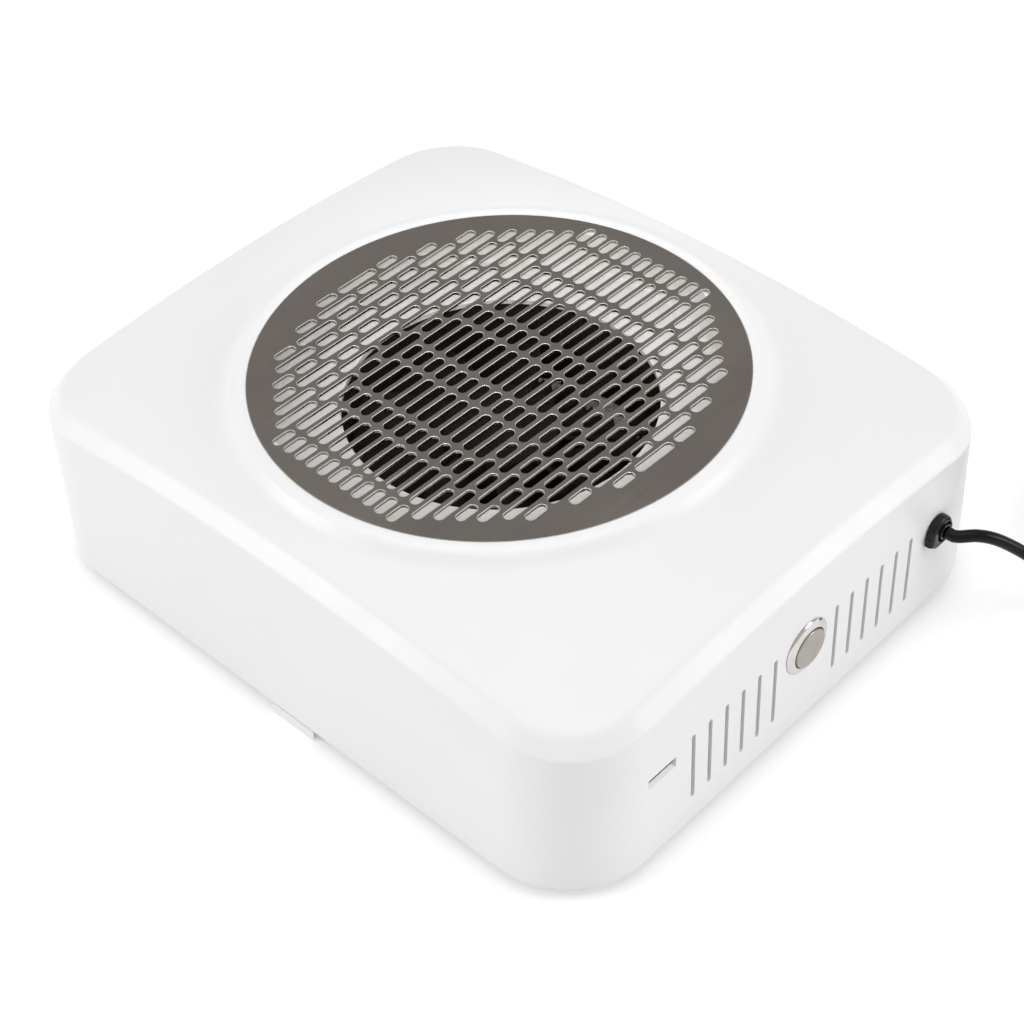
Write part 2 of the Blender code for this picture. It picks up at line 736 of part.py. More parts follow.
def build_dish(material):
    """The dish under the grille: a bowl whose flange the fan clamps to the ring."""
    flange_top = RING_BOTTOM - GAP
    flange_bottom = flange_top - DISH_THICKNESS
    profile = (
        (FAN_OPENING_RADIUS, DISH_UNDERSIDE),
        (FAN_OPENING_RADIUS, DISH_FLOOR),
        (DISH_FLOOR_RADIUS, DISH_FLOOR),
        (DISH_TOP_RADIUS, SEAT_TOP),
        (LIP_INNER - GAP, SEAT_TOP),
        (LIP_INNER - GAP, flange_top),
        (LIP_INNER + DISH_FLANGE, flange_top),
        (LIP_INNER + DISH_FLANGE, flange_bottom),
        (DISH_TOP_RADIUS + DISH_THICKNESS, flange_bottom),
        (DISH_FLOOR_RADIUS + DISH_THICKNESS, DISH_UNDERSIDE),
    )
    return turn("fan_dish", profile, FAN_OPENING_STEPS, material)


def slot_outline(x, y, length):
    """A slot with pointed-round ends, turned with the grille."""
    half = length / 2
    reach = SLOT_WIDTH / 2
    shoulder = half - reach / 2
    shape = (
        (reach, -shoulder),
        (reach, shoulder),
        (0.0, half),
        (-reach, shoulder),
        (-reach, -shoulder),
        (0.0, -half),
    )
    angle = math.radians(GRILLE_TURN_DEGREES)
    points = []
    for across, along in shape:
        px = x + across
        py = y + along
        points.append((px * math.cos(angle) - py * math.sin(angle), px * math.sin(angle) + py * math.cos(angle)))
    return points


def slot_places():
    """Every slot as (column place, row place, length)."""
    places = []
    last_column = len(COLUMN_ROWS) - 1
    for column in range(-last_column, last_column + 1):
        size = abs(column)
        starts_long = size <= LONG_FIRST_COLUMNS or size % 2 == 1
        rows = COLUMN_ROWS[size]
        for row in range(-rows + 1, rows):
            is_long = (row % 2 == 0) == starts_long
            places.append((column * SLOT_PITCH, row * SLOT_STEP, LONG_SLOT if is_long else SHORT_SLOT))
        if size in EXTRA_SLOT_COLUMNS:
            is_long = ((rows - 1) % 2 == 0) == starts_long
            length = LONG_SLOT if is_long else SHORT_SLOT
            reach = (rows - 1) * SLOT_STEP + length + SLOT_WEB
            places.append((column * SLOT_PITCH, reach, length))
            places.append((column * SLOT_PITCH, -reach, length))
    return places


def build_grille(material):
    holes = [slot_outline(*place) for place in slot_places()]
    outline = circle(GRILLE_RADIUS, GRILLE_RIM_POINTS)
    low = GRILLE_TOP - GRILLE_THICKNESS
    grille = plate("grille_disc", outline, holes, low, GRILLE_TOP, material)
    return set_origin(grille, Vector((0.0, 0.0, low)))


def make_screw(name, x, y, head_top, length, material):
    """A pan head screw pointing up, its head below head_top."""
    head_bottom = head_top - SCREW_HEAD_HEIGHT
    profile = (
        (SCREW_HEAD_RADIUS * 2 / 3, head_bottom),
        (SCREW_HEAD_RADIUS, head_bottom + SCREW_HEAD_HEIGHT / 3),
        (SCREW_HEAD_RADIUS, head_top),
        (SCREW_RADIUS, head_top),
        (SCREW_RADIUS, head_top + length),
    )
    return turn(name, profile, 6, material, ring=False, centre=Vector((x, y, 0.0)))


def build_fan_frame(material):
    holes = [circle(FAN_OPENING_RADIUS, FAN_OPENING_STEPS)]
    for x, y in corners_of(FAN_SCREW_PLACE, FAN_SCREW_PLACE):
        holes.append(circle(SCREW_RADIUS + GAP, 8, (x, y)))
    outline = rounded_rectangle(FAN_PLATE_HALF, FAN_PLATE_HALF, FAN_PLATE_CORNER, 3)
    frame = plate("fan_frame", outline, holes, FAN_PLATE_BOTTOM, FAN_TOP)
    duct_profile = (
        (FAN_OPENING_RADIUS, FAN_BOTTOM),
        (DUCT_OUTER, FAN_BOTTOM),
        (DUCT_OUTER, FAN_TOP - FAN_PLATE_THICKNESS / 2),
        (FAN_OPENING_RADIUS, FAN_TOP - FAN_PLATE_THICKNESS / 2),
    )
    combine(frame, turn("duct", duct_profile, FAN_OPENING_STEPS), "UNION")
    half_x = HATCH_LENGTH / 2 + CHAMBER_WALL
    half_y = HATCH_DEPTH / 2 + CHAMBER_WALL
    skirt_outline = rounded_rectangle(half_x, half_y, HATCH_CORNER, 2)
    skirt_hole = [circle(FAN_OPENING_RADIUS + FAN_DUCT_WALL / 2, FAN_OPENING_STEPS)]
    skirt = plate("skirt", skirt_outline, skirt_hole, FAN_SKIRT_BOTTOM, FAN_SKIRT_TOP)
    combine(frame, skirt, "UNION")
    cup_profile = (
        (BEARING_TUBE_INNER, CUP_FLOOR - STRUT_HEIGHT / 2),
        (BEARING_TUBE_INNER, TUBE_TOP),
        (BEARING_TUBE_OUTER, TUBE_TOP),
        (BEARING_TUBE_OUTER, CUP_FLOOR),
        (CUP_RADIUS, CUP_FLOOR),
        (CUP_RADIUS, FAN_BOTTOM),
        (SHAFT_RADIUS, FAN_BOTTOM),
        (SHAFT_RADIUS, CUP_FLOOR - STRUT_HEIGHT / 2),
    )
    cup = turn("cup", cup_profile, 24)
    for index in range(STRUT_COUNT):
        inner = CUP_RADIUS - STRUT_WIDTH / 2
        outer = FAN_OPENING_RADIUS + FAN_DUCT_WALL / 4
        low = (inner, -STRUT_WIDTH / 2, FAN_SKIRT_BOTTOM)
        high = (outer, STRUT_WIDTH / 2, CUP_FLOOR - FAN_SKIRT_RAISE)
        strut = block("strut", low, high)
        angle = math.tau * (index + 0.5) / STRUT_COUNT
        strut.data.transform(Matrix.Rotation(angle, 4, "Z"))
        combine(cup, strut, "UNION")
    combine(frame, cup, "UNION")
    return finish(frame, material)


def blade_rows():
    """One blade as sections from inside the hub's wall to the tip."""
    root = HUB_RADIUS - HUB_WALL / 2
    tip = FAN_OPENING_RADIUS - BLADE_TIP_CLEARANCE
    middle = (HUB_BOTTOM + HUB_TOP) / 2
    rows = []
    for station in range(BLADE_STATIONS):
        share = station / (BLADE_STATIONS - 1)
        radius = root + (tip - root) * share
        sweep = math.radians(BLADE_SWEEP_DEGREES)
        lean = math.radians(BLADE_LEAN_DEGREES) * share
        half_rise = BLADE_RISE / 2
        half_thick = BLADE_THICKNESS / 2 / radius
        row = []
        for side, along in ((1, -1), (1, 0), (1, 1), (-1, 1), (-1, 0), (-1, -1)):
            bow = math.radians(BLADE_LEAN_DEGREES) / 4 * (1 - along * along)
            angle = sweep / 2 * along + lean + bow + side * half_thick
            height = middle - half_rise * along + side * BLADE_THICKNESS / 4
            row.append(Vector((radius * math.cos(angle), radius * math.sin(angle), height)))
        rows.append(row)
    return rows


def build_rotor(material):
    inner = HUB_RADIUS - HUB_WALL
    ceiling = HUB_TOP - HUB_WALL
    profile = (
        (HUB_RADIUS / 8, HUB_TOP),
        (HUB_RADIUS - HUB_ROUND, HUB_TOP),
        (HUB_RADIUS - HUB_ROUND / 3, HUB_TOP - HUB_ROUND / 3),
        (HUB_RADIUS, HUB_TOP - HUB_ROUND),
        (HUB_RADIUS, HUB_BOTTOM),
        (inner, HUB_BOTTOM),
        (inner, ceiling),
        (HUB_RADIUS / 8, ceiling),
    )
    rotor = turn("fan_rotor", profile, 24, ring=False)
    for index in range(BLADE_COUNT):
        blade = loft("blade", blade_rows())
        blade.data.transform(Matrix.Rotation(math.tau * index / BLADE_COUNT, 4, "Z"))
        combine(rotor, blade, "UNION")
    finish(rotor, material)
    return set_origin(rotor, Vector((0.0, 0.0, HUB_BOTTOM)))


def build_fan_inside(black, steel, copper, brass):
    shaft_low = CUP_FLOOR - STRUT_HEIGHT / 2 + SHAFT_END_PLAY
    shaft_top = HUB_TOP - HUB_WALL - GAP
    shaft_radius = SHAFT_RADIUS - GAP
    shaft = turn("fan_shaft", [(shaft_radius, shaft_low), (shaft_radius, shaft_top)], 12, steel, ring=False)
    set_origin(shaft, Vector((0.0, 0.0, shaft_low)))
    lowest = CUP_FLOOR - STRUT_HEIGHT / 2 + GAP
    highest = TUBE_TOP - BEARING_HEIGHT
    outer = BEARING_TUBE_INNER - GAP
    inner = outer - BEARING_WALL - GAP
    inner = max(inner, SHAFT_RADIUS)
    for name, low in (("fan_bearing_lower", lowest), ("fan_bearing_upper", highest)):
        high = low + BEARING_HEIGHT
        turn(name, [(inner, low), (outer, low), (outer, high), (inner, high)], 14, brass)
    low = (CUP_FLOOR + TUBE_TOP - STATOR_HEIGHT) / 2
    outline = []
    steps = STATOR_POLES * 4
    for step in range(steps):
        radius = STATOR_RADIUS if step % 4 < 2 else STATOR_RADIUS - STATOR_RADIUS / 4
        angle = math.tau * step / steps
        outline.append((radius * math.cos(angle), radius * math.sin(angle)))
    hole = [circle(BEARING_TUBE_OUTER + GAP, 16)]
    plate("fan_stator", outline, hole, low, low + STATOR_HEIGHT, copper)
    return shaft


def build_button(chrome, steel, black, brass):
    centre = Vector((0.0, 0.0, BUTTON_HEIGHT))
    back = HALF_X + GAP
    front = back + BEZEL_THICKNESS
    barrel_end = back - BARREL_LENGTH
    bore_end = front - BUTTON_BORE_DEPTH
    profile = (
        (BUTTON_BORE_RADIUS, front),
        (BEZEL_RADIUS - BEZEL_BEVEL, front),
        (BEZEL_RADIUS, front - BEZEL_BEVEL),
        (BEZEL_RADIUS, back),
        (BARREL_RADIUS, back),
        (BARREL_RADIUS, barrel_end),
        (SPRING_RADIUS, barrel_end),
        (SPRING_RADIUS, bore_end),
        (BUTTON_BORE_RADIUS, bore_end),
    )
    turn("button_bezel", profile, 20, chrome, axis="X", centre=centre)
    cap_front = front + CAP_PROUD
    cap_back = cap_front - CAP_THICKNESS
    cap_profile = (
        (CAP_RADIUS / 2, cap_front),
        (CAP_RADIUS - CAP_BEVEL, cap_front),
        (CAP_RADIUS, cap_front - CAP_BEVEL),
        (CAP_RADIUS, cap_back),
        (CAP_RADIUS / 2, cap_back),
    )
    cap = turn("button_cap", cap_profile, 20, steel, ring=False, axis="X", centre=centre)
    set_origin(cap, Vector((cap_back, 0.0, BUTTON_HEIGHT)))
    coil_start = bore_end + GAP + SPRING_WIRE / 2
    coil_end = cap_back - CAP_TRAVEL - GAP - SPRING_WIRE / 2
    turns = []
    per_turn = 6
    radius = (SPRING_RADIUS + BUTTON_BORE_RADIUS) / 2
    for step in range(SPRING_TURNS * per_turn + 1):
        angle = math.tau * step / per_turn
        along = coil_start + (coil_end - coil_start) * step / (SPRING_TURNS * per_turn)
        turns.append(Vector((along, radius * math.cos(angle), BUTTON_HEIGHT + radius * math.sin(angle))))
    tube("button_spring", turns, SPRING_WIRE / 2, steel, 1)
    nut_front = HALF_X - WALL - GAP
    nut_back = nut_front - NUT_THICKNESS
    flats = NUT_ACROSS_FLATS / math.sqrt(3)
    hexagon = circle(flats, 6)
    bore = circle(BARREL_RADIUS + GAP, 18)
    nut = plate("button_nut", hexagon, [bore], nut_back, nut_front)
    nut.data.transform(Matrix.Rotation(math.pi / 2, 4, "Y"))
    nut.data.transform(Matrix.Translation((0.0, 0.0, BUTTON_HEIGHT)))
    finish(nut, chrome)
    base_front = barrel_end - GAP
    base_back = base_front - SWITCH_BASE_LENGTH
    base_profile = [(SWITCH_BASE_RADIUS, base_back), (SWITCH_BASE_RADIUS, base_front)]
    turn("switch_base", base_profile, 20, black, ring=False, axis="X", centre=centre)
    for name, side in (("switch_terminal_left", 1), ("switch_terminal_right", -1)):
        y = side * TERMINAL_SPACING / 2
        high_x = base_back - GAP
        low = (high_x - TERMINAL_LENGTH, y - TERMINAL_THICKNESS / 2, BUTTON_HEIGHT - TERMINAL_WIDTH / 2)
        high = (high_x, y + TERMINAL_THICKNESS / 2, BUTTON_HEIGHT + TERMINAL_WIDTH / 2)
        block(name, low, high, brass)
    return cap


def aim(solid, heading, place):
    """Turns a shape made along +X to a heading and puts it in place."""
    turned = heading.to_track_quat("X", "Z").to_matrix().to_4x4()
    solid.data.transform(Matrix.Translation(place) @ turned)
    return solid


def build_strain_relief(material):
    half_width = RELIEF_HEAD_WIDTH / 2
    half_height = RELIEF_HEAD_HEIGHT / 2
    outline = []
    for step in range(9):
        angle = math.pi * step / 8
        outline.append((half_width * math.cos(angle), half_height * math.sin(angle)))
    lower = half_height / 2
    chamfer = half_width / 2
    outline += [(-half_width, -lower), (-half_width + chamfer, -half_height)]
    outline += [(half_width - chamfer, -half_height), (half_width, -lower)]
    shrink = RELIEF_HEAD_THICKNESS / RELIEF_HEAD_WIDTH / 2
    back = HALF_X + GAP
    rows = []
    for x, scale_share in (
        (back, 1.0),
        (back + RELIEF_HEAD_THICKNESS * 3 / 4, 1.0),
        (RELIEF_FACE_X, 1.0 - shrink),
    ):
        row = []
        for across, up in outline:
            y = RELIEF_Y - RELIEF_HEAD_OFFSET + across * scale_share
            row.append(Vector((x, y, BUTTON_HEIGHT + up * scale_share)))
        rows.append(row)
    relief = loft("cord_strain_relief", rows)
    neck_profile = [
        (RELIEF_NECK_RADIUS * 4 / 5, back - RELIEF_NECK_LENGTH),
        (RELIEF_NECK_RADIUS, back - RELIEF_NECK_LENGTH / 2),
        (RELIEF_NECK_RADIUS, back + RELIEF_HEAD_THICKNESS / 2),
    ]
    centre = Vector((0.0, RELIEF_Y, BUTTON_HEIGHT))
    neck = turn("neck", neck_profile, 14, ring=False, axis="X", centre=centre)
    combine(relief, neck, "UNION")
    spout_tip = CORD_EXIT - CORD_EXIT_HEADING * GAP
    spout_profile = [(RELIEF_SPOUT_RADIUS, -RELIEF_SPOUT_SINK), (RELIEF_SPOUT_TIP_RADIUS, 0.0)]
    spout = turn("spout", spout_profile, 14, ring=False, axis="X")
    aim(spout, CORD_EXIT_HEADING, spout_tip)
    combine(relief, spout, "UNION")
    return finish(relief, material)


def build_base(material):
    holes = []
    half_x = HATCH_LENGTH / 2
    half_y = HATCH_DEPTH / 2
    holes.append(rounded_rectangle(half_x, half_y, HATCH_CORNER, 2))
    for x, y in corners_of(BASE_POST_X, BASE_POST_Y):
        holes.append(circle(SCREW_RADIUS + GAP, 8, (x, y)))
    for x, y in corners_of(FOOT_X, FOOT_Y):
        holes.append(circle(FOOT_STEM_RADIUS + GAP, 12, (x, y)))
    outline = [(x, y) for x, y in foot_outline(WALL + GAP + WALL / 4)]
    base = plate("base_plate", outline, holes, PLATE_BOTTOM, PLATE_TOP)
    outer = rounded_rectangle(half_x + CHAMBER_WALL, half_y + CHAMBER_WALL, HATCH_CORNER, 2)
    inner = rounded_rectangle(half_x, half_y, HATCH_CORNER, 2)
    chamber = plate("chamber", outer, [inner], PLATE_TOP - PLATE_THICKNESS / 2, CHAMBER_TOP)
    combine(base, chamber, "UNION")
    slot_low = PLATE_TOP + GAP
    reach = half_x + CHAMBER_WALL + CUT_OVERRUN
    for index in range(CHAMBER_SLOT_COUNT):
        y = CHAMBER_SLOT_PITCH * (index - (CHAMBER_SLOT_COUNT - 1) / 2)
        low = (-reach, y - CHAMBER_SLOT_LENGTH / 2, slot_low)
        high = (reach, y + CHAMBER_SLOT_LENGTH / 2, slot_low + CHAMBER_SLOT_HEIGHT)
        combine(base, block("slot", low, high))
    for side in (-1, 1):
        inner_x = KNUCKLE_HALF_LENGTH + GAP
        outer_x = inner_x + LUG_WIDTH
        low = (min(side * inner_x, side * outer_x), HINGE_Y - KNUCKLE_RADIUS, PLATE_BOTTOM)
        high = (max(side * inner_x, side * outer_x), half_y + CHAMBER_WALL / 2, HINGE_Z + KNUCKLE_RADIUS)
        combine(base, block("lug", low, high), "UNION")
    pin_reach = KNUCKLE_HALF_LENGTH + LUG_WIDTH + CUT_OVERRUN
    pin_profile = [
        (HINGE_PIN_RADIUS + HINGE_PIN_CLEARANCE, -pin_reach),
        (HINGE_PIN_RADIUS + HINGE_PIN_CLEARANCE, pin_reach),
    ]
    centre = Vector((0.0, HINGE_Y, HINGE_Z))
    combine(base, turn("pin_bore", pin_profile, 12, ring=False, axis="X", centre=centre))
    return finish(base, material)


def build_foot(name, x, y, material):
    pad_top = PLATE_BOTTOM - GAP
    stem_top = PLATE_TOP + GAP
    profile = (
        (FOOT_RADIUS - FOOT_EDGE_ROUND, 0.0),
        (FOOT_RADIUS, FOOT_EDGE_ROUND),
        (FOOT_RADIUS, pad_top),
        (FOOT_STEM_RADIUS, pad_top),
        (FOOT_STEM_RADIUS, stem_top),
        (FOOT_STEM_HEAD_RADIUS, stem_top),
        (FOOT_STEM_RADIUS, stem_top + FOOT_STEM_HEAD_HEIGHT),
    )
    return turn(name, profile, 12, material, ring=False, centre=Vector((x, y, 0.0)))


def build_hatch(material):
    half_x = HATCH_LENGTH / 2 - HATCH_EDGE_GAP
    near = -(HATCH_DEPTH / 2 - HATCH_EDGE_GAP)
    inner = KNUCKLE_HALF_LENGTH
    notch = HINGE_Y - KNUCKLE_RADIUS - HATCH_NOTCH_GAP
    corner = HATCH_CORNER - HATCH_EDGE_GAP
    outline = [(half_x, notch), (inner, notch), (inner, HINGE_Y)]
    outline += [(-inner, HINGE_Y), (-inner, notch), (-half_x, notch)]
    for side in (-1, 1):
        for step in range(3):
            angle = math.pi / 2 * (step / 2 if side < 0 else 1 - step / 2)
            x = side * (half_x - corner + corner * math.cos(angle))
            outline.append((x, near + corner - corner * math.sin(angle)))
    hatch = plate("dust_hatch", outline, [], PLATE_BOTTOM, HATCH_TOP)
    knuckle_profile = [(KNUCKLE_RADIUS, -inner), (KNUCKLE_RADIUS, inner)]
    centre = Vector((0.0, HINGE_Y, HINGE_Z))
    knuckle = turn("knuckle", knuckle_profile, 16, ring=False, axis="X", centre=centre)
    combine(hatch, knuckle, "UNION")
    bore = HINGE_PIN_RADIUS + HINGE_PIN_CLEARANCE
    bore_profile = [(bore, -inner - CUT_OVERRUN), (bore, inner + CUT_OVERRUN)]
    combine(hatch, turn("bore", bore_profile, 12, ring=False, axis="X", centre=centre))
    for side in (-1, 1):
        rail_x = side * (FILTER_LENGTH / 2 - HATCH_RAIL_WIDTH)
        low = (rail_x - HATCH_RAIL_WIDTH / 2, -FILTER_DEPTH / 2, HATCH_TOP - HATCH_THICKNESS / 2)
        high = (rail_x + HATCH_RAIL_WIDTH / 2, FILTER_DEPTH / 2, HATCH_TOP + HATCH_RAIL_HEIGHT)
        combine(hatch, block("rail", low, high), "UNION")
    arm_top = TABLE_CLEARANCE - GAP
    arm_low = arm_top - TAB_THICKNESS
    reach = FOOT_HALF_Y
    arm = block(
        "arm",
        (TAB_X - TAB_WIDTH / 2, -reach, arm_low),
        (TAB_X + TAB_WIDTH / 2, near + TAB_LIP, arm_top),
    )
    step = block(
        "step",
        (TAB_X - TAB_WIDTH / 2, near, arm_low),
        (TAB_X + TAB_WIDTH / 2, near + TAB_LIP, PLATE_BOTTOM + HATCH_THICKNESS / 2),
    )
    combine(arm, step, "UNION")
    low = TAB_TABLE_GAP
    half = TAB_WIDTH / 2
    lip_outline = [
        (TAB_X - half, arm_top),
        (TAB_X - half, low + TAB_CORNER),
        (TAB_X - half + TAB_CORNER / 3, low + TAB_CORNER / 3),
        (TAB_X - half + TAB_CORNER, low),
        (TAB_X + half - TAB_CORNER, low),
        (TAB_X + half - TAB_CORNER / 3, low + TAB_CORNER / 3),
        (TAB_X + half, low + TAB_CORNER),
        (TAB_X + half, arm_top),
    ]
    rows = [[Vector((x, y, z)) for x, z in lip_outline] for y in (-reach, -reach + TAB_LIP)]
    combine(arm, loft("lip", rows), "UNION")
    combine(hatch, arm, "UNION")
    finish(hatch, material)
    return set_origin(hatch, centre)


def build_hinge_pin(material):
    reach = KNUCKLE_HALF_LENGTH + LUG_WIDTH
    profile = [(HINGE_PIN_RADIUS, -reach), (HINGE_PIN_RADIUS, reach)]
    centre = Vector((0.0, HINGE_Y, HINGE_Z))
    return turn("hinge_pin", profile, 12, material, ring=False, axis="X", centre=centre)


def build_filter(frame_material, paper):
    half_x = FILTER_LENGTH / 2
    half_y = FILTER_DEPTH / 2
    wall = FILTER_FRAME_WALL
    outer = rounded_rectangle(half_x, half_y, wall, 2)
    inner = [(-half_x + wall, -half_y + wall), (half_x - wall, -half_y + wall)]
    inner += [(half_x - wall, half_y - wall), (-half_x + wall, half_y - wall)]
    frame = plate("filter_frame", outer, [inner], FILTER_BOTTOM, FILTER_TOP, frame_material)
    span = half_x - wall - GAP
    pitch = 2 * span / PLEAT_COUNT
    low = FILTER_BOTTOM + PLEAT_MARGIN
    high = FILTER_TOP - PLEAT_MARGIN
    upper = []
    lower = []
    for index in range(PLEAT_COUNT + 1):
        x = -span + pitch * index
        crest = index % 2 == 0
        upper.append((x, high if crest else low + PLEAT_SHEET))
        lower.append((x, high - PLEAT_SHEET if crest else low))
    section = upper + list(reversed(lower))
    depth = half_y - wall - GAP
    rows = [[Vector((x, y, z)) for x, z in section] for y in (-depth, depth)]
    media = loft("filter_pleats", rows, paper)
    return frame, media


def coil_points():
    """The coil's line: a spiral in, a climb to the next layer, a spiral out."""
    outer = COIL_MIDDLE_RADIUS + COIL_PITCH * COIL_SPIRAL_TURNS / 2
    total = 2 * COIL_SPIRAL_TURNS + COIL_CLIMB_TURNS
    start = math.radians(COIL_START_DEGREES)
    centre = Vector((COIL_X, COIL_Y, 0.0))
    points = []
    steps = round(total * COIL_POINTS_PER_TURN)
    for step in range(steps + 1):
        turned = total * step / steps
        if turned <= COIL_SPIRAL_TURNS:
            inward = turned
            climb = 0.0
        elif turned <= COIL_SPIRAL_TURNS + COIL_CLIMB_TURNS:
            inward = COIL_SPIRAL_TURNS
            climb = (turned - COIL_SPIRAL_TURNS) / COIL_CLIMB_TURNS
        else:
            inward = total - turned
            climb = 1.0
        radius = outer - COIL_PITCH * inward
        angle = start + math.tau * turned
        height = COIL_HEIGHT + COIL_PITCH * climb
        points.append(centre + Vector((radius * math.cos(angle), radius * math.sin(angle), height)))
    straight = 2 * CORD_RADIUS
    first = (points[0] - points[1]).normalized()
    last = (points[-1] - points[-2]).normalized()
    return [points[0] + first * straight] + points + [points[-1] + last * straight]


def least_gap(points, radius, apart):
    """The smallest space between far-apart stretches of one tube."""
    closest = None
    for index, point in enumerate(points):
        for other in range(index + apart, len(points) - 1):
            span = points[other + 1] - points[other]
            share = (point - points[other]).dot(span) / span.length_squared
            share = min(1.0, max(0.0, share))
            distance = (point - points[other] - span * share).length
            if closest is None or distance < closest:
                closest = distance
    return closest - 2 * radius


def cord_run(start, start_heading, route, end, end_heading):
    """A stretch of cord that meets what is at its ends squarely."""
    near = start + start_heading * CORD_RADIUS
    far = end - end_heading * CORD_RADIUS
    between = smooth_route([near, *route, far], CORD_STEP, start_heading, end_heading)
    return [start, *between, end]


def tie_outline(strands, reach):
    """A taut line round circles about the strands, with a flat underside."""
    corners = []
    for across, up in strands:
        for step in range(TIE_STEPS):
            angle = math.tau * (step + 1 / 2) / TIE_STEPS
            corners.append((across + reach * math.cos(angle), up + reach * math.sin(angle)))
    return [corners[index] for index in convex_hull_2d(corners)]


def build_tie(coil, material):
    """A flat tie round all the strands at one place of the coil."""
    angle = math.radians(TIE_DEGREES)
    out = Vector((math.cos(angle), math.sin(angle), 0.0))
    centre = Vector((COIL_X, COIL_Y, 0.0))
    near = math.cos(math.pi / COIL_POINTS_PER_TURN)
    strands = []
    for point, after in zip(coil[1:-1], coil[2:-1]):
        middle = (point + after) / 2
        arm = Vector((middle.x, middle.y, 0.0)) - centre
        if arm.normalized().dot(out) > near:
            strands.append((arm.dot(out), middle.z))
    widen = 1 / math.cos(math.pi / TIE_STEPS)
    inner = tie_outline(strands, (CORD_RADIUS + GAP) * widen)
    outer = tie_outline(strands, (CORD_RADIUS + GAP + TIE_THICKNESS) * widen)
    tie = plate("cord_tie", outer, [inner], -TIE_WIDTH / 2, TIE_WIDTH / 2)
    along = Vector((out.y, -out.x, 0.0))
    turned = Matrix((out, Vector((0.0, 0.0, 1.0)), along)).transposed().to_4x4()
    tie.data.transform(Matrix.Translation(centre) @ turned)
    return finish(tie, material)


def build_cord(black, chrome):
    coil = coil_points()
    gap = least_gap(coil, CORD_RADIUS, COIL_POINTS_PER_TURN // 2)
    print(f"coil: least gap to itself {gap * 1000:.2f} mm")
    coil_in = (coil[1] - coil[0]).normalized()
    coil_out = (coil[-1] - coil[-2]).normalized()
    free = cord_run(CORD_EXIT, CORD_EXIT_HEADING, CORD_ROUTE, coil[0] - coil_in * GAP, coil_in)
    plug_heading = Vector((0.0, 1.0, 0.0))
    tail_start = coil[-1] + coil_out * GAP
    tail_end = PLUG_BACK - plug_heading * GAP
    tail = cord_run(tail_start, coil_out, TAIL_ROUTE, tail_end, plug_heading)
    tube("cord_free", free, CORD_RADIUS, black, 2)
    tube("cord_coil", coil, CORD_RADIUS, black, 1)
    tube("cord_tail", tail, CORD_RADIUS, black, 2)
    build_tie(coil, black)
    total = route_length(free) + route_length(coil) + route_length(tail)
    print(f"cord: {total:.3f} m in all")
    build_plug(black, chrome)


def build_plug(black, chrome):
    back = PLUG_BACK.y
    grip_end = back + PLUG_GRIP_LENGTH
    front = grip_end + PLUG_LENGTH
    half_thick = PLUG_THICKNESS / 2
    outline_rows = (
        (grip_end - PLUG_GRIP_LENGTH / 4, PLUG_NECK_WIDTH / 2, PLUG_GRIP_RADIUS),
        (grip_end + PLUG_LENGTH / 5, PLUG_NECK_WIDTH / 2 + PLUG_NECK_WIDTH / 5, half_thick),
        (grip_end + PLUG_LENGTH * 3 / 5, PLUG_WIDTH / 2, half_thick),
        (front, PLUG_WIDTH / 2, half_thick),
    )
    rows = []
    for y, half_width, half_height in outline_rows:
        corner = half_height / 2
        section = rounded_rectangle(half_width, half_height, corner, 2)
        rows.append([Vector((PLUG_BACK.x + x, y, half_thick + z)) for x, z in section])
    plug = loft("plug_body", rows)
    grip_profile = [
        (PLUG_GRIP_RADIUS * 4 / 5, back),
        (PLUG_GRIP_RADIUS, grip_end),
        (PLUG_GRIP_RADIUS, grip_end + PLUG_GRIP_LENGTH / 4),
    ]
    centre = Vector((PLUG_BACK.x, 0.0, half_thick))
    combine(plug, turn("grip", grip_profile, 14, ring=False, axis="Y", centre=centre), "UNION")
    for name, side in (("plug_pin_left", -1), ("plug_pin_right", 1)):
        place = Vector((PLUG_BACK.x + side * PLUG_PIN_SPACING / 2, 0.0, half_thick))
        seat = [
            (PLUG_PIN_RADIUS + GAP, front - PLUG_PIN_SEAT),
            (PLUG_PIN_RADIUS + GAP, front + CUT_OVERRUN),
        ]
        combine(plug, turn("seat", seat, 12, ring=False, axis="Y", centre=place))
        pin = [
            (PLUG_PIN_RADIUS, front - PLUG_PIN_SEAT + GAP),
            (PLUG_PIN_RADIUS, front + PLUG_PIN_LENGTH - PLUG_PIN_RADIUS),
            (PLUG_PIN_RADIUS / 2, front + PLUG_PIN_LENGTH),
        ]
        turn(name, pin, 12, chrome, ring=False, axis="Y", centre=place)
    return finish(plug, black)


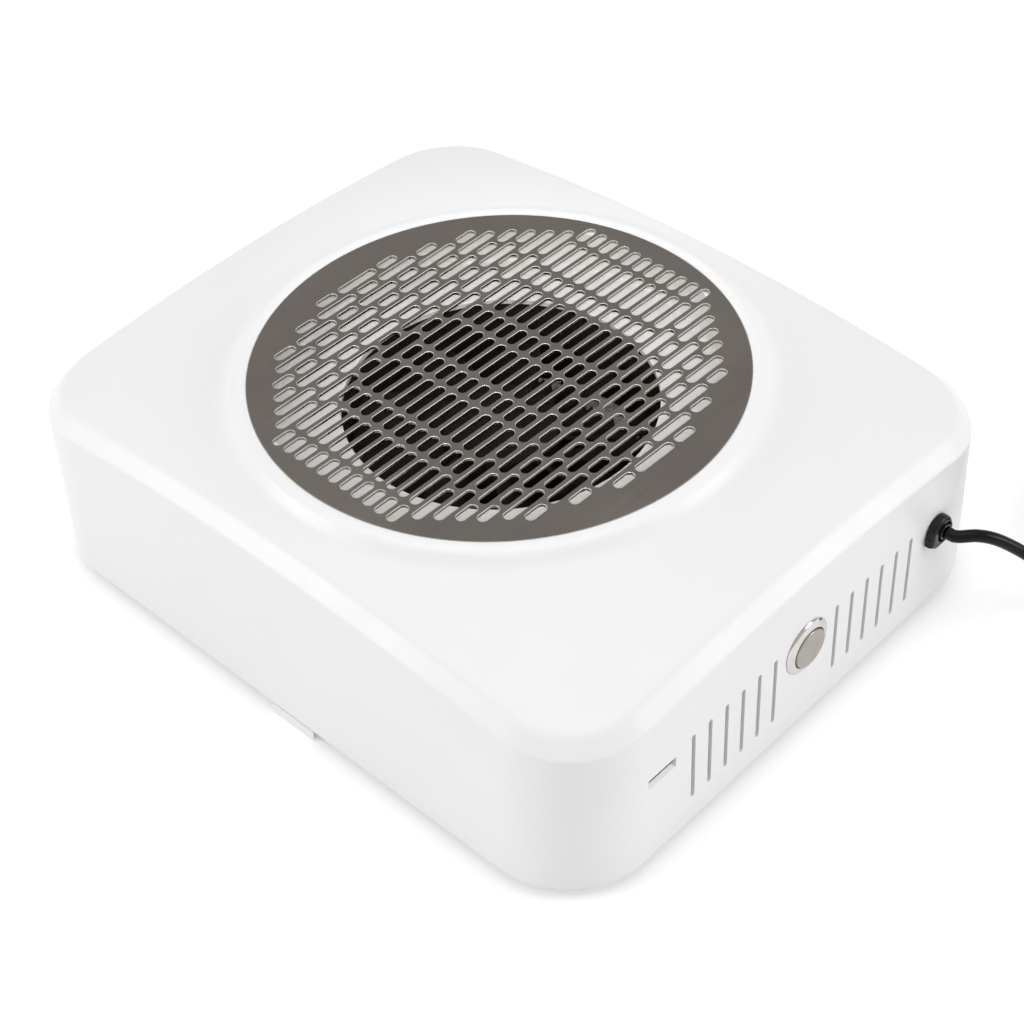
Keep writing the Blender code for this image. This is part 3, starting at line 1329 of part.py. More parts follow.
def build_leads(black):
    """The lead from the strain relief to the switch and on to the fan."""
    back = HALF_X + GAP - BARREL_LENGTH - GAP - SWITCH_BASE_LENGTH - GAP - TERMINAL_LENGTH - GAP
    left = Vector((back, TERMINAL_SPACING / 2, BUTTON_HEIGHT))
    right = Vector((back, -TERMINAL_SPACING / 2, BUTTON_HEIGHT))
    inlet = Vector((HALF_X - RELIEF_NECK_LENGTH, RELIEF_Y, BUTTON_HEIGHT))
    inward = Vector((-1.0, 0.0, 0.0))
    bend = Vector((left.x, inlet.y - SWITCH_BASE_LENGTH, BUTTON_HEIGHT - SWITCH_BASE_LENGTH))
    dip = Vector((left.x - SWITCH_BASE_LENGTH, inlet.y / 2, BUTTON_HEIGHT - SWITCH_BASE_LENGTH))
    supply = smooth_route([inlet, bend, dip, left], 5 * LEAD_RADIUS, inward, -inward)
    tube("lead_supply", supply, LEAD_RADIUS, black, 1)
    seat = FAN_SKIRT_TOP + LEAD_RADIUS + GAP
    duct = Vector((DUCT_OUTER + GAP, 0.0, seat))
    middle = (right + duct) / 2 + Vector((0.0, -TERMINAL_SPACING, 0.0))
    fan_lead = smooth_route([right, middle, duct], 5 * LEAD_RADIUS, inward, inward)
    tube("lead_fan", fan_lead, LEAD_RADIUS, black, 1)


def main():
    clear_scene()
    white = make_material("white_plastic", (0.86, 0.86, 0.85), 0.0, 0.32)
    grey_steel = make_material("grille_steel", (0.40, 0.37, 0.34), 1.0, 0.34)
    chrome = make_material("polished_metal", (0.72, 0.71, 0.68), 1.0, 0.15)
    brushed = make_material("brushed_metal", (0.46, 0.43, 0.39), 1.0, 0.32)
    black = make_material("black_plastic", (0.015, 0.015, 0.016), 0.0, 0.45)
    rubber = make_material("foot_rubber", (0.03, 0.03, 0.03), 0.0, 0.75)
    cable = make_material("cord_black", (0.018, 0.019, 0.021), 0.0, 0.38)
    copper = make_material("stator_copper", (0.55, 0.28, 0.14), 1.0, 0.4)
    brass = make_material("contact_brass", (0.70, 0.55, 0.25), 1.0, 0.3)
    paper = make_material("filter_paper", (0.05, 0.05, 0.052), 0.0, 0.9)

    build_housing(white)
    build_dish(white)
    build_grille(grey_steel)
    build_fan_frame(black)
    for index, (x, y) in enumerate(corners_of(FAN_SCREW_PLACE, FAN_SCREW_PLACE), 1):
        make_screw(f"fan_screw_{index}", x, y, FAN_PLATE_BOTTOM - GAP, FAN_SCREW_LENGTH, brushed)
    rotor = build_rotor(black)
    shaft = build_fan_inside(black, brushed, copper, brass)
    attach(shaft, rotor)
    build_button(chrome, brushed, black, brass)
    build_strain_relief(black)
    build_leads(black)
    build_base(white)
    for index, (x, y) in enumerate(corners_of(BASE_POST_X, BASE_POST_Y), 1):
        make_screw(f"base_screw_{index}", x, y, PLATE_BOTTOM - GAP, BASE_SCREW_LENGTH, brushed)
    for index, (x, y) in enumerate(corners_of(FOOT_X, FOOT_Y), 1):
        build_foot(f"foot_{index}", x, y, rubber)
    hatch = build_hatch(white)
    build_hinge_pin(brushed)
    for piece in build_filter(white, paper):
        attach(piece, hatch)
    build_cord(cable, chrome)


if __name__ == "__main__":
    main()
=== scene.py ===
import math

import bmesh
import bpy
from bpy.props import FloatProperty, FloatVectorProperty, IntProperty, PointerProperty
from mathutils import Matrix, Vector
from mathutils.geometry import convex_hull_2d, interpolate_bezier


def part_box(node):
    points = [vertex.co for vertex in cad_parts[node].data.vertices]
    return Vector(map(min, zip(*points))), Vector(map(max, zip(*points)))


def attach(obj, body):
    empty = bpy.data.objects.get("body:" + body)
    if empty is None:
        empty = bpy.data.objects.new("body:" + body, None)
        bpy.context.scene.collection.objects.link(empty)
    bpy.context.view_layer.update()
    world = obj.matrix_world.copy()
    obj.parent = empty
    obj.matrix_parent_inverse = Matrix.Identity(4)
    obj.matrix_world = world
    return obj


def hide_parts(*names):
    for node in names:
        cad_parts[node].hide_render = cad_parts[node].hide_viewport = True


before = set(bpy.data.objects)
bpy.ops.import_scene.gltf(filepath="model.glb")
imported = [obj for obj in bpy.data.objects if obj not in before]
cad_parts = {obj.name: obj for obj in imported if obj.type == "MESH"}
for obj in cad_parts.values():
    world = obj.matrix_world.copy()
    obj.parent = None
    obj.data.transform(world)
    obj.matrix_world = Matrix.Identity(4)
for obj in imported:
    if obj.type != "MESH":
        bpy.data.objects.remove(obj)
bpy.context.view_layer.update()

bl_info = {
    "name": "Nail Dust Collector",
    "version": (1, 0, 0),
    "blender": (4, 5, 0),
    "location": "3D View > Sidebar > Dust Collector",
    "description": "Dresses a desktop nail dust collector, one piece at a time",
    "category": "Object",
}

HOUSING_LOW, HOUSING_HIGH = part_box("housing_shell")
GRILLE_LOW, GRILLE_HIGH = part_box("grille_disc")
DISH_LOW, DISH_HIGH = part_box("fan_dish")
FRAME_LOW, FRAME_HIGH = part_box("fan_frame")
BEZEL_LOW, BEZEL_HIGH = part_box("button_bezel")
CAP_LOW, CAP_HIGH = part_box("button_cap")


# Sizes and colours that a user would change

def metres(name, description, default, high=1.0):
    return FloatProperty(
        name=name, description=description, default=default, min=0.0, max=high, unit="LENGTH", precision=5
    )


def paint(name, description, default):
    return FloatVectorProperty(
        name=name, description=description, default=default, size=3, min=0.0, max=1.0, subtype="COLOR"
    )


def amount(name, description, default, high):
    return IntProperty(name=name, description=description, default=default, min=1, max=high)


def watts(name, description, default):
    return FloatProperty(name=name, description=description, default=default, unit="POWER")


class HousingSettings(bpy.types.PropertyGroup):
    half_length: metres("Half length", "Half of the housing along X", HOUSING_HIGH.x)
    top_half_width: metres("Half width at the top", "Half of the housing along Y at the top", 0.1215)
    foot_half_width: metres("Half width at the foot", "Half of the housing along Y below", HOUSING_HIGH.y)
    top_corner: metres("Top corner", "Radius of the upright corners at the top", 0.0345)
    foot_corner: metres("Foot corner", "Radius of the upright corners at the foot", 0.036)
    wall: metres("Wall", "Thickness of the moulded wall", 0.0025)
    foot_height: metres("Foot height", "Height of the lower edge over the table", HOUSING_LOW.z)
    dome_radius: metres("Dome radius", "Radius of the slightly domed top", 0.9225, high=5.0)
    crease_drop: metres("Crease drop", "How far the crease lies under the grille at the middle", 0.0051)
    band: metres("Edge band", "Rise of the soft band between wall and top", 0.0056)
    vent_width: metres("Vent width", "Width of one upright vent", 0.002)
    vent_height: metres("Vent height", "Height of one upright vent", 0.033)
    vent_pitch: metres("Vent pitch", "Distance between vents", 0.009)
    vent_first: metres("First vent", "Distance of the first vent from the middle", 0.0177)
    vent_level: metres("Vent level", "Height of the vents' middle", 0.0347)
    vent_count: amount("Vents", "Vents on each side of the button", 6, 12)
    window_top: metres("Slot level", "Height of the upper edge of the small level slot", 0.0481)
    button_level: metres("Button level", "Height of the button's middle", 0.0444)
    colour: paint("Housing colour", "Colour of the white moulded plastic", (0.86, 0.862, 0.86))


class GrilleSettings(bpy.types.PropertyGroup):
    radius: metres("Grille radius", "Radius of the steel disc", GRILLE_HIGH.x)
    top: metres("Grille top", "Height of the disc's upper face", GRILLE_HIGH.z)
    thickness: metres("Thickness", "Thickness of the steel sheet", GRILLE_HIGH.z - GRILLE_LOW.z)
    column_pitch: metres("Column pitch", "Distance between columns of slots", 0.006)
    row_pitch: metres("Row pitch", "Distance between a long slot and the next short one", 0.01625)
    slot_width: metres("Slot width", "Width of a slot", 0.004)
    long_slot: metres("Long slot", "Length of a long slot", 0.019)
    short_slot: metres("Short slot", "Length of a short slot", 0.0095)
    slot_web: metres("Web", "Metal left between the ends of two slots", 0.002)
    turn: FloatProperty(
        name="Turn", description="How far the loose disc is turned", default=math.radians(-0.9),
        subtype="ANGLE",
    )
    # One steel sheet in four colours by face direction: the top is kept darker than bare steel, a painted
    # dark reflection.
    colour: paint("Steel colour", "Colour of the satin steel", (0.212, 0.19, 0.171))
    # The slots' walls are lighter than the top: partly bare punched steel, partly painted highlight.
    edge_colour: paint("Cut steel colour", "Colour of the slots' walls", (0.38, 0.36, 0.335))
    # The underside is far brighter than the top of the same sheet: painted light, thrown into the dish
    # below.
    lit_back_colour: paint("Bare steel colour", "Colour of the bright underside", (0.9, 0.88, 0.85))
    # The slots' rims are bright all round: a painted highlight.
    rim_highlight_colour: paint("Slot rim colour", "Colour of the slots' rounded rims", (0.62, 0.59, 0.55))


class FanSettings(bpy.types.PropertyGroup):
    opening: metres("Opening radius", "Radius of the fan opening", 0.061)
    dish_floor: metres("Dish floor", "Height of the dish's floor", 0.078)
    hub_radius: metres("Hub radius", "Radius of the fan's hub", 0.0235)
    blade_count: amount("Blades", "Number of fan blades", 9, 15)
    blade_thickness: metres("Blade thickness", "Thickness of a blade", 0.0015)
    # The dish is a brighter white than the housing's same plastic: painted light.
    lit_dish_colour: paint("Dish colour", "Colour of the bright white dish", (0.92, 0.912, 0.895))
    colour: paint("Fan colour", "Colour of the black fan plastic", (0.012, 0.011, 0.01))


class ButtonSettings(bpy.types.PropertyGroup):
    bezel_radius: metres("Bezel radius", "Radius of the polished ring", 0.0115)
    cap_radius: metres("Cap radius", "Radius of the brushed cap", 0.0081)
    bezel_colour: paint("Bezel colour", "Colour of the polished ring", (0.62, 0.6, 0.57))
    cap_colour: paint("Cap colour", "Colour of the brushed cap", (0.385, 0.36, 0.325))


class CordSettings(bpy.types.PropertyGroup):
    radius: metres("Cord radius", "Radius of the mains cord", 0.0025)
    relief_width: metres("Relief width", "Width of the strain relief's head", 0.014)
    relief_height: metres("Relief height", "Height of the strain relief's head", 0.0146)
    relief_thickness: metres("Relief thickness", "Thickness of the strain relief's head", 0.0034)
    tie_width: metres("Tie width", "Width of the tie round the coil", 0.006)
    tie_thickness: metres("Tie thickness", "Thickness of the tie round the coil", 0.0005)
    colour: paint("Cord colour", "Colour of the glossy black cord", (0.006, 0.006, 0.007))


class BaseSettings(bpy.types.PropertyGroup):
    edge: metres("Edge rounding", "Rounding of the moulded edges underneath", 0.0003)
    pleats: amount("Pleats", "Folds of the filter paper", 40, 120)
    # The paper is near black: painted shade, so the gaps between the fan's blades stay dark.
    paper_shade_colour: paint("Paper colour", "Colour of the filter paper", (0.04, 0.04, 0.042))


class StageSettings(bpy.types.PropertyGroup):
    lens: FloatProperty(name="Lens", description="Focal length of the camera", default=75.33, unit="CAMERA")
    world: FloatProperty(name="World", description="Strength of the even light from all round", default=0.64)
    top: watts("Top", "Power of the large soft lamp above", 11.5)
    left: watts("Left", "Power of the soft lamp at the front left", 20.0)
    right: watts("Right", "Power of the soft lamp at the back right", 20.0)
    inner: watts("Inner", "Power of the narrow lamp into the dish", 13.2)


# Working in object and edit mode

def clear_selection():
    if bpy.context.mode != "OBJECT":
        bpy.ops.object.mode_set(mode="OBJECT")
    bpy.ops.object.select_all(action="DESELECT")


def pick(piece):
    clear_selection()
    piece.select_set(True)
    bpy.context.view_layer.objects.active = piece
    return piece


def named(name):
    piece = bpy.context.active_object
    piece.name = name
    piece.data.name = name
    return piece


def select_edges(shape, wanted):
    """Selects the edges for which wanted(edge) holds, and nothing else."""
    for element in (*shape.faces, *shape.edges, *shape.verts):
        element.select = False
    for edge in shape.edges:
        if wanted(edge):
            edge.select = True
    shape.select_flush_mode()


def extruded(name, rows, ends="ring", smooth=30.0):
    """A circle whose loop is extruded once for each row of points, every new
    loop being moved onto its row. Both ends are closed by a "fill", drawn
    together in a "point" or, in a "ring", joined to each other."""
    clear_selection()
    bpy.ops.mesh.primitive_circle_add(vertices=len(rows[0]), radius=0.05)
    piece = named(name)
    bpy.ops.object.mode_set(mode="EDIT")
    bpy.ops.mesh.select_mode(type="VERT")
    bpy.ops.mesh.select_all(action="SELECT")
    shape = bmesh.from_edit_mesh(piece.data)
    number = shape.verts.layers.int.new("number")
    for index, vert in enumerate(shape.verts):
        vert[number] = index
    bmesh.update_edit_mesh(piece.data)
    if ends == "ring":
        rows = rows + [rows[0]]
    for index, row in enumerate(rows):
        if index:
            bpy.ops.mesh.extrude_edges_move()
        shape = bmesh.from_edit_mesh(piece.data)
        number = shape.verts.layers.int["number"]
        for vert in shape.verts:
            if vert.select:
                vert.co = row[vert[number]]
        bmesh.update_edit_mesh(piece.data)
        if ends != "ring" and index in (0, len(rows) - 1):
            close_loop(ends)
    shape = bmesh.from_edit_mesh(piece.data)
    shape.verts.layers.int.remove(shape.verts.layers.int["number"])
    bmesh.update_edit_mesh(piece.data)
    tidy_mesh()
    bpy.ops.object.mode_set(mode="OBJECT")
    return smoothed(piece, smooth)


def close_loop(way):
    """Fills the selected loop with a face or, for a "point", with a fan of them."""
    mesh = bpy.context.active_object.data
    shape = bmesh.from_edit_mesh(mesh)
    edges = [edge for edge in shape.edges if edge.select]
    if way == "fill":
        bmesh.ops.contextual_create(shape, geom=edges)
    else:
        loop = [vert.co for vert in shape.verts if vert.select]
        hub = shape.verts.new(sum(loop, Vector()) / len(loop))
        for edge in edges:
            shape.faces.new((*edge.verts, hub))
    chosen = set(edges)
    select_edges(shape, lambda edge: edge in chosen)
    bmesh.update_edit_mesh(mesh)


def tidy_mesh():
    """Merges doubles and points all faces outwards, in edit mode."""
    bpy.ops.mesh.select_all(action="SELECT")
    bpy.ops.mesh.remove_doubles(threshold=1e-6)
    bpy.ops.mesh.normals_make_consistent(inside=False)


def cleaned(piece):
    pick(piece)
    bpy.ops.object.mode_set(mode="EDIT")
    tidy_mesh()
    bpy.ops.object.mode_set(mode="OBJECT")
    return piece


def smoothed(piece, degrees):
    pick(piece)
    bpy.ops.object.shade_smooth_by_angle(angle=math.radians(degrees))
    return piece


def modified(piece, kind, **values):
    """Adds one modifier, sets its values and applies it."""
    pick(piece)
    bpy.ops.object.modifier_add(type=kind)
    modifier = piece.modifiers[-1]
    for name, value in values.items():
        setattr(modifier, name, value)
    bpy.ops.object.modifier_apply(modifier=modifier.name)
    return piece


def weighted(piece):
    """Lets the large flat faces decide how the shading runs."""
    return modified(piece, "WEIGHTED_NORMAL", keep_sharp=True, mode="FACE_AREA")


def beveled(piece, width, degrees):
    """Rounds every edge that turns by more than so many degrees."""
    return modified(
        piece, "BEVEL", width=width, segments=2, limit_method="ANGLE", angle_limit=math.radians(degrees),
        use_clamp_overlap=True,
    )


def softened(piece, width):
    """Rounds the sharp edges of a piece and shades it."""
    return weighted(smoothed(beveled(piece, width, 30.0), 35.0))


def cut(piece, cutter, operation="DIFFERENCE"):
    modified(piece, "BOOLEAN", operation=operation, solver="EXACT", object=cutter)
    bpy.data.objects.remove(cutter, do_unlink=True)
    return piece


def join(pieces, name):
    clear_selection()
    for piece in pieces:
        piece.select_set(True)
    bpy.context.view_layer.objects.active = pieces[0]
    bpy.ops.object.join()
    return named(name)


def copied(piece, name, move):
    """A copy with its own mesh, set in its place."""
    pick(piece)
    bpy.ops.object.duplicate(linked=False)
    copy = named(name)
    copy.matrix_world = move @ copy.matrix_world
    bpy.ops.object.transform_apply(location=True, rotation=True, scale=True)
    return copy


def block(name, low, high):
    """A cube set to two corners, as the start of a piece."""
    low = Vector(low)
    high = Vector(high)
    clear_selection()
    bpy.ops.mesh.primitive_cube_add(size=1.0, location=(low + high) / 2)
    piece = named(name)
    piece.scale = high - low
    bpy.ops.object.transform_apply(location=True, rotation=True, scale=True)
    return piece


def refined(node, name, width):
    """A finer copy of a CAD node with its edges rounded."""
    pick(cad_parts[node])
    bpy.ops.object.duplicate(linked=False)
    piece = named(name)
    for key in [key for key in piece.keys() if key.startswith("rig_")]:
        del piece[key]
    piece.parent = None
    piece.data.materials.clear()
    bpy.ops.object.mode_set(mode="EDIT")
    tidy_mesh()
    bpy.ops.mesh.dissolve_limited(angle_limit=math.radians(1.0))
    bpy.ops.object.mode_set(mode="OBJECT")
    return softened(piece, width)


def dress(piece, body, material, slot, *nodes):
    """Gives a piece its finish, its body and the CAD nodes that it stands for; the slot is not used."""
    piece.data.materials.clear()
    piece.data.materials.append(material)
    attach(piece, body)
    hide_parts(*nodes)
    return piece


# Points and rows

def axis_point(axis, height, first, second):
    """A point at a height along an axis and at two places across it."""
    if axis == "X":
        return Vector((height, first, second))
    if axis == "Y":
        return Vector((first, height, second))
    return Vector((first, second, height))


def ring_row(radius, height, steps, centre, axis):
    """Points on a circle round a line along an axis."""
    row = []
    for step in range(steps):
        angle = math.tau * step / steps
        first = centre[0] + radius * math.cos(angle)
        second = centre[1] + radius * math.sin(angle)
        row.append(axis_point(axis, height, first, second))
    return row


def heading_row(headings, radius, height):
    """Points on a circle round the Z axis, one in each heading."""
    return [Vector((heading.x * radius, heading.y * radius, height)) for heading in headings]


def rounded_rectangle(half_x, half_y, radius, corner_steps, centre=(0.0, 0.0)):
    """Points of a rectangle with round corners, from its X side round by Y."""
    points = []
    for quarter in range(4):
        side_x = 1 if quarter in (0, 3) else -1
        side_y = 1 if quarter in (0, 1) else -1
        for step in range(corner_steps + 1):
            angle = math.pi / 2 * (quarter + step / corner_steps)
            points.append(
                (
                    centre[0] + side_x * (half_x - radius) + radius * math.cos(angle),
                    centre[1] + side_y * (half_y - radius) + radius * math.sin(angle),
                )
            )
    return points


def corner_places(half_x, half_y):
    """Four places, one in each quarter round the middle."""
    return [(x * half_x, y * half_y) for x in (-1, 1) for y in (-1, 1)]


def box_centre(low, high):
    return (low.x + high.x) / 2, (low.y + high.y) / 2


def line_length(points):
    return sum((after - before).length for before, after in zip(points, points[1:]))


def resampled(line, count):
    """So many steps of one length along a line, with its two ends."""
    lengths = [0.0]
    for before, after in zip(line, line[1:]):
        lengths.append(lengths[-1] + (after - before).length)
    points = []
    cursor = 0
    for index in range(count + 1):
        wanted = lengths[-1] * index / count
        while cursor < len(lengths) - 2 and lengths[cursor + 1] < wanted:
            cursor += 1
        span = lengths[cursor + 1] - lengths[cursor]
        points.append(line[cursor].lerp(line[cursor + 1], (wanted - lengths[cursor]) / span))
    return points


def rounded_profile(profile, steps=4):
    """Profile points (radius, height), or (radius, height, rounding) where the
    corner becomes an arc of short steps."""
    result = []
    for index, (radius, height, *rounding) in enumerate(profile):
        here = Vector((radius, height))
        if not rounding:
            result.append(here)
            continue
        before = Vector(profile[index - 1][:2]) - here
        after = Vector(profile[(index + 1) % len(profile)][:2]) - here
        near = here + before.normalized() * rounding[0]
        far = here + after.normalized() * rounding[0]
        for step in range(steps + 1):
            share = step / steps
            result.append(near * (1 - share) ** 2 + here * 2 * share * (1 - share) + far * share**2)
    return [(point.x, point.y) for point in result]


def turned(name, profile, steps, axis="Z", centre=(0.0, 0.0), ends="ring", smooth=30.0):
    """A profile of (radius, height) pairs, turned about a line along an axis."""
    rows = [ring_row(radius, height, steps, centre, axis) for radius, height in profile]
    return extruded(name, rows, ends, smooth)


def bore(name, radius, low, high, steps, centre, axis="Z"):
    """A round cutter."""
    return turned(name, ((radius, low), (radius, high)), steps, axis, centre, "fill")


def drawn(name, section, axis, low, high, smooth=30.0):
    """A section drawn out straight along an axis."""
    rows = [[axis_point(axis, height, a, b) for a, b in section] for height in (low, high)]
    return extruded(name, rows, "fill", smooth)


# Finishes

def new_material(name):
    material = bpy.data.materials.new(name)
    material.use_nodes = True
    tree = material.node_tree
    return material, tree, tree.nodes["Principled BSDF"]


def add_noise(tree, scale, detail, stretch=(1.0, 1.0, 1.0), turn=0.0):
    """A noise on the piece's own coordinates, which may be stretched and turned."""
    coordinates = tree.nodes.new("ShaderNodeTexCoord")
    mapping = tree.nodes.new("ShaderNodeMapping")
    mapping.inputs["Scale"].default_value = stretch
    mapping.inputs["Rotation"].default_value = (0.0, 0.0, math.radians(turn))
    noise = tree.nodes.new("ShaderNodeTexNoise")
    noise.inputs["Scale"].default_value = scale
    noise.inputs["Detail"].default_value = detail
    noise.inputs["Roughness"].default_value = 0.55
    tree.links.new(coordinates.outputs["Object"], mapping.inputs["Vector"])
    tree.links.new(mapping.outputs["Vector"], noise.inputs["Vector"])
    return noise.outputs["Fac"]


def add_range(tree, source, low, high, from_low=0.35, from_high=0.65):
    """Spreads a value from one range over another."""
    spread = tree.nodes.new("ShaderNodeMapRange")
    spread.inputs["From Min"].default_value = from_low
    spread.inputs["From Max"].default_value = from_high
    spread.inputs["To Min"].default_value = low
    spread.inputs["To Max"].default_value = high
    tree.links.new(source, spread.inputs["Value"])
    return spread.outputs["Result"]


def add_tint(tree, shader, source, colour, low, high):
    """Lets a pattern vary the colour between two shares of itself."""
    mix = tree.nodes.new("ShaderNodeMix")
    mix.data_type = "RGBA"
    tree.links.new(add_range(tree, source, 0.0, 1.0), mix.inputs["Factor"])
    for socket, share in (("A", low), ("B", high)):
        tint = [min(1.0, channel * share) for channel in colour]
        mix.inputs[socket].default_value = (*tint, 1.0)
    tree.links.new(mix.outputs["Result"], shader.inputs["Base Color"])


def add_bump(tree, shader, source, strength, distance):
    bump = tree.nodes.new("ShaderNodeBump")
    bump.inputs["Strength"].default_value = strength
    bump.inputs["Distance"].default_value = distance
    tree.links.new(source, bump.inputs["Height"])
    tree.links.new(bump.outputs["Normal"], shader.inputs["Normal"])


FINISHES = {}


def surface(name, colour, tints, cloud, gloss, roughness, bump, grain=None, **constants):
    """A finish, made once and shared. A cloudy noise varies its colour between
    two tints, a second noise its roughness, and the bump comes from a grain of
    its own or else from that second noise."""
    if name in FINISHES:
        return FINISHES[name]
    material, tree, shader = new_material(name)
    for socket, value in constants.items():
        shader.inputs[socket.replace("_", " ")].default_value = value
    add_tint(tree, shader, add_noise(tree, *cloud), colour, *tints)
    marks = add_noise(tree, *gloss)
    tree.links.new(add_range(tree, marks, *roughness), shader.inputs["Roughness"])
    add_bump(tree, shader, add_noise(tree, *grain) if grain else marks, *bump)
    FINISHES[name] = material
    return material


def white_plastic(name, colour):
    """Moulded plastic with a soft gloss, faint cloudiness and a fine grain."""
    return surface(
        name, colour, (0.99, 1.006), cloud=(14.0, 3.0), gloss=(60.0, 5.0), roughness=(0.3, 0.38),
        bump=(0.05, 0.0001), grain=(1400.0, 2.0), IOR=1.49,
    )


def black_plastic(name, colour, low, high, grain_scale=900.0, strength=0.08, shine=0.5):
    """Black moulded plastic with a fine grain."""
    return surface(
        name, colour, (0.8, 1.3), cloud=(35.0, 4.0), gloss=(120.0, 4.0), roughness=(low, high),
        bump=(strength, 0.0001), grain=(grain_scale, 3.0), Specular_IOR_Level=shine,
    )


def metal(name, colour, low, high, scale=700.0, stretch=(1.0, 1.0, 1.0), strength=0.04):
    """Metal with fine working marks."""
    return surface(
        name, colour, (0.93, 1.05), cloud=(160.0, 4.0), gloss=(scale, 3.0, stretch), roughness=(low, high),
        bump=(strength, 0.00004), Metallic=1.0,
    )


def satin_steel(colour):
    """Sheet steel with fine brushing along one direction; its colour is kept dark, a painted dark
    reflection.
    """
    return surface(
        "satin_steel", colour, (0.92, 1.08), cloud=(18.0, 4.0), gloss=(900.0, 3.0, (1.0, 0.02, 1.0), 20.0),
        roughness=(0.3, 0.42), bump=(0.06, 0.00005), Metallic=1.0,
    )


def cut_and_lit_steel(name, colour):
    """Bright steel with fine marks across the sheet: on the slots' walls partly bare punched edge and partly
    painted highlight, on the underside painted light thrown into the dish.
    """
    return surface(
        name, colour, (0.92, 1.06), cloud=(90.0, 4.0), gloss=(1500.0, 3.0, (1.0, 1.0, 0.15)),
        roughness=(0.24, 0.36), bump=(0.08, 0.00004), Metallic=1.0,
    )


def rim_highlight_steel(colour):
    """Bright steel on a rounded rim, a painted highlight, dull enough to shine evenly all round."""
    return surface(
        "rim_highlight_steel", colour, (0.88, 1.1), cloud=(600.0, 4.0), gloss=(600.0, 4.0), roughness=(0.5, 0.66),
        bump=(0.06, 0.00004), Metallic=1.0,
    )


def filter_paper(colour):
    """Matt paper with loose fibres."""
    material, tree, shader = new_material("filter_paper")
    shader.inputs["Roughness"].default_value = 0.92
    fibres = add_noise(tree, 500.0, 6.0, (1.0, 0.35, 1.0))
    add_tint(tree, shader, fibres, colour, 0.93, 1.04)
    add_bump(tree, shader, fibres, 0.35, 0.0002)
    return material


def the_white():
    return white_plastic("moulded_white", bpy.context.scene.dust_housing.colour)


def the_black():
    return black_plastic("fan_black", bpy.context.scene.dust_fan.colour, 0.55, 0.75, 500.0, 0.2, 0.07)


def the_cord_black():
    return black_plastic("cord_black", bpy.context.scene.dust_cord.colour, 0.16, 0.24, 1500.0, 0.04, 0.17)


# Housing

BASE_POST = (0.124, 0.09875)
FAN_POST = (0.073, 0.073)
SCREW_BORE = 0.0018
BUTTON_BORE = 0.0095
CORD_BORE = 0.0053
WINDOW_ENDS = (-0.08635, -0.07205)
# How far a point stands out from the grille's edge and rises over its face, in millimetres
RING = (
    (0.0, -0.5), (0.0, -0.12), (0.14, 0.08), (0.42, 0.28), (0.85, 0.42), (1.4, 0.5), (2.1, 0.54),
    (2.9, 0.54), (3.7, 0.46), (4.4, 0.27), (5.1, -0.06), (5.8, -0.62), (6.4, -1.3), (7.0, -2.02),
    (7.6, -2.7), (8.3, -3.36), (9.1, -3.95), (10.0, -4.48), (11.0, -4.92), (12.2, -5.32), (13.5, -5.72),
)
# How far a point lies inside the wall and rises over the crease, in millimetres
BAND = (
    (9.0, 5.6), (8.2, 5.57), (7.4, 5.46), (6.6, 5.24), (5.9, 4.93), (5.2, 4.51), (4.6, 4.04), (3.9, 3.42),
    (3.1, 2.66), (2.3, 1.9), (1.5, 1.14), (0.9, 0.57), (0.5, 0.17), (0.22, -0.16), (0.06, -0.5),
    (0.0, -0.95),
)
# The same inside the wall and over the foot, in millimetres
FOOT = ((0.0, 0.9), (0.04, 0.55), (0.18, 0.24), (0.42, 0.06), (0.75, 0.0))


def outline_points(half_x, half_y, radius, settings):
    """The housing outline, with matching points at any size."""
    corner_steps = 18
    corners = rounded_rectangle(half_x, half_y, radius, corner_steps)
    long_side = (44, half_x - radius, settings.half_length, settings.top_half_width)
    short_side = (36, half_y - radius, settings.top_half_width, settings.half_length)
    points = []
    for quarter in range(4):
        first = quarter * (corner_steps + 1)
        points.extend(corners[first:first + corner_steps + 1])
        steps, straight, half, reach = short_side if quarter % 2 else long_side
        widest = math.atan2(half - settings.top_corner, reach)
        for step in range(1, steps):
            angle = widest * (1 - 2 * step / steps)
            place = straight * math.tan(angle) / math.tan(widest)
            points.append(((place, half_y), (-half_x, place), (-place, -half_y), (half_x, -place))[quarter])
    return points


def crease_height(x, y, settings):
    top = bpy.context.scene.dust_grille.top
    return top - settings.crease_drop - (x * x + y * y) / (2 * settings.dome_radius)


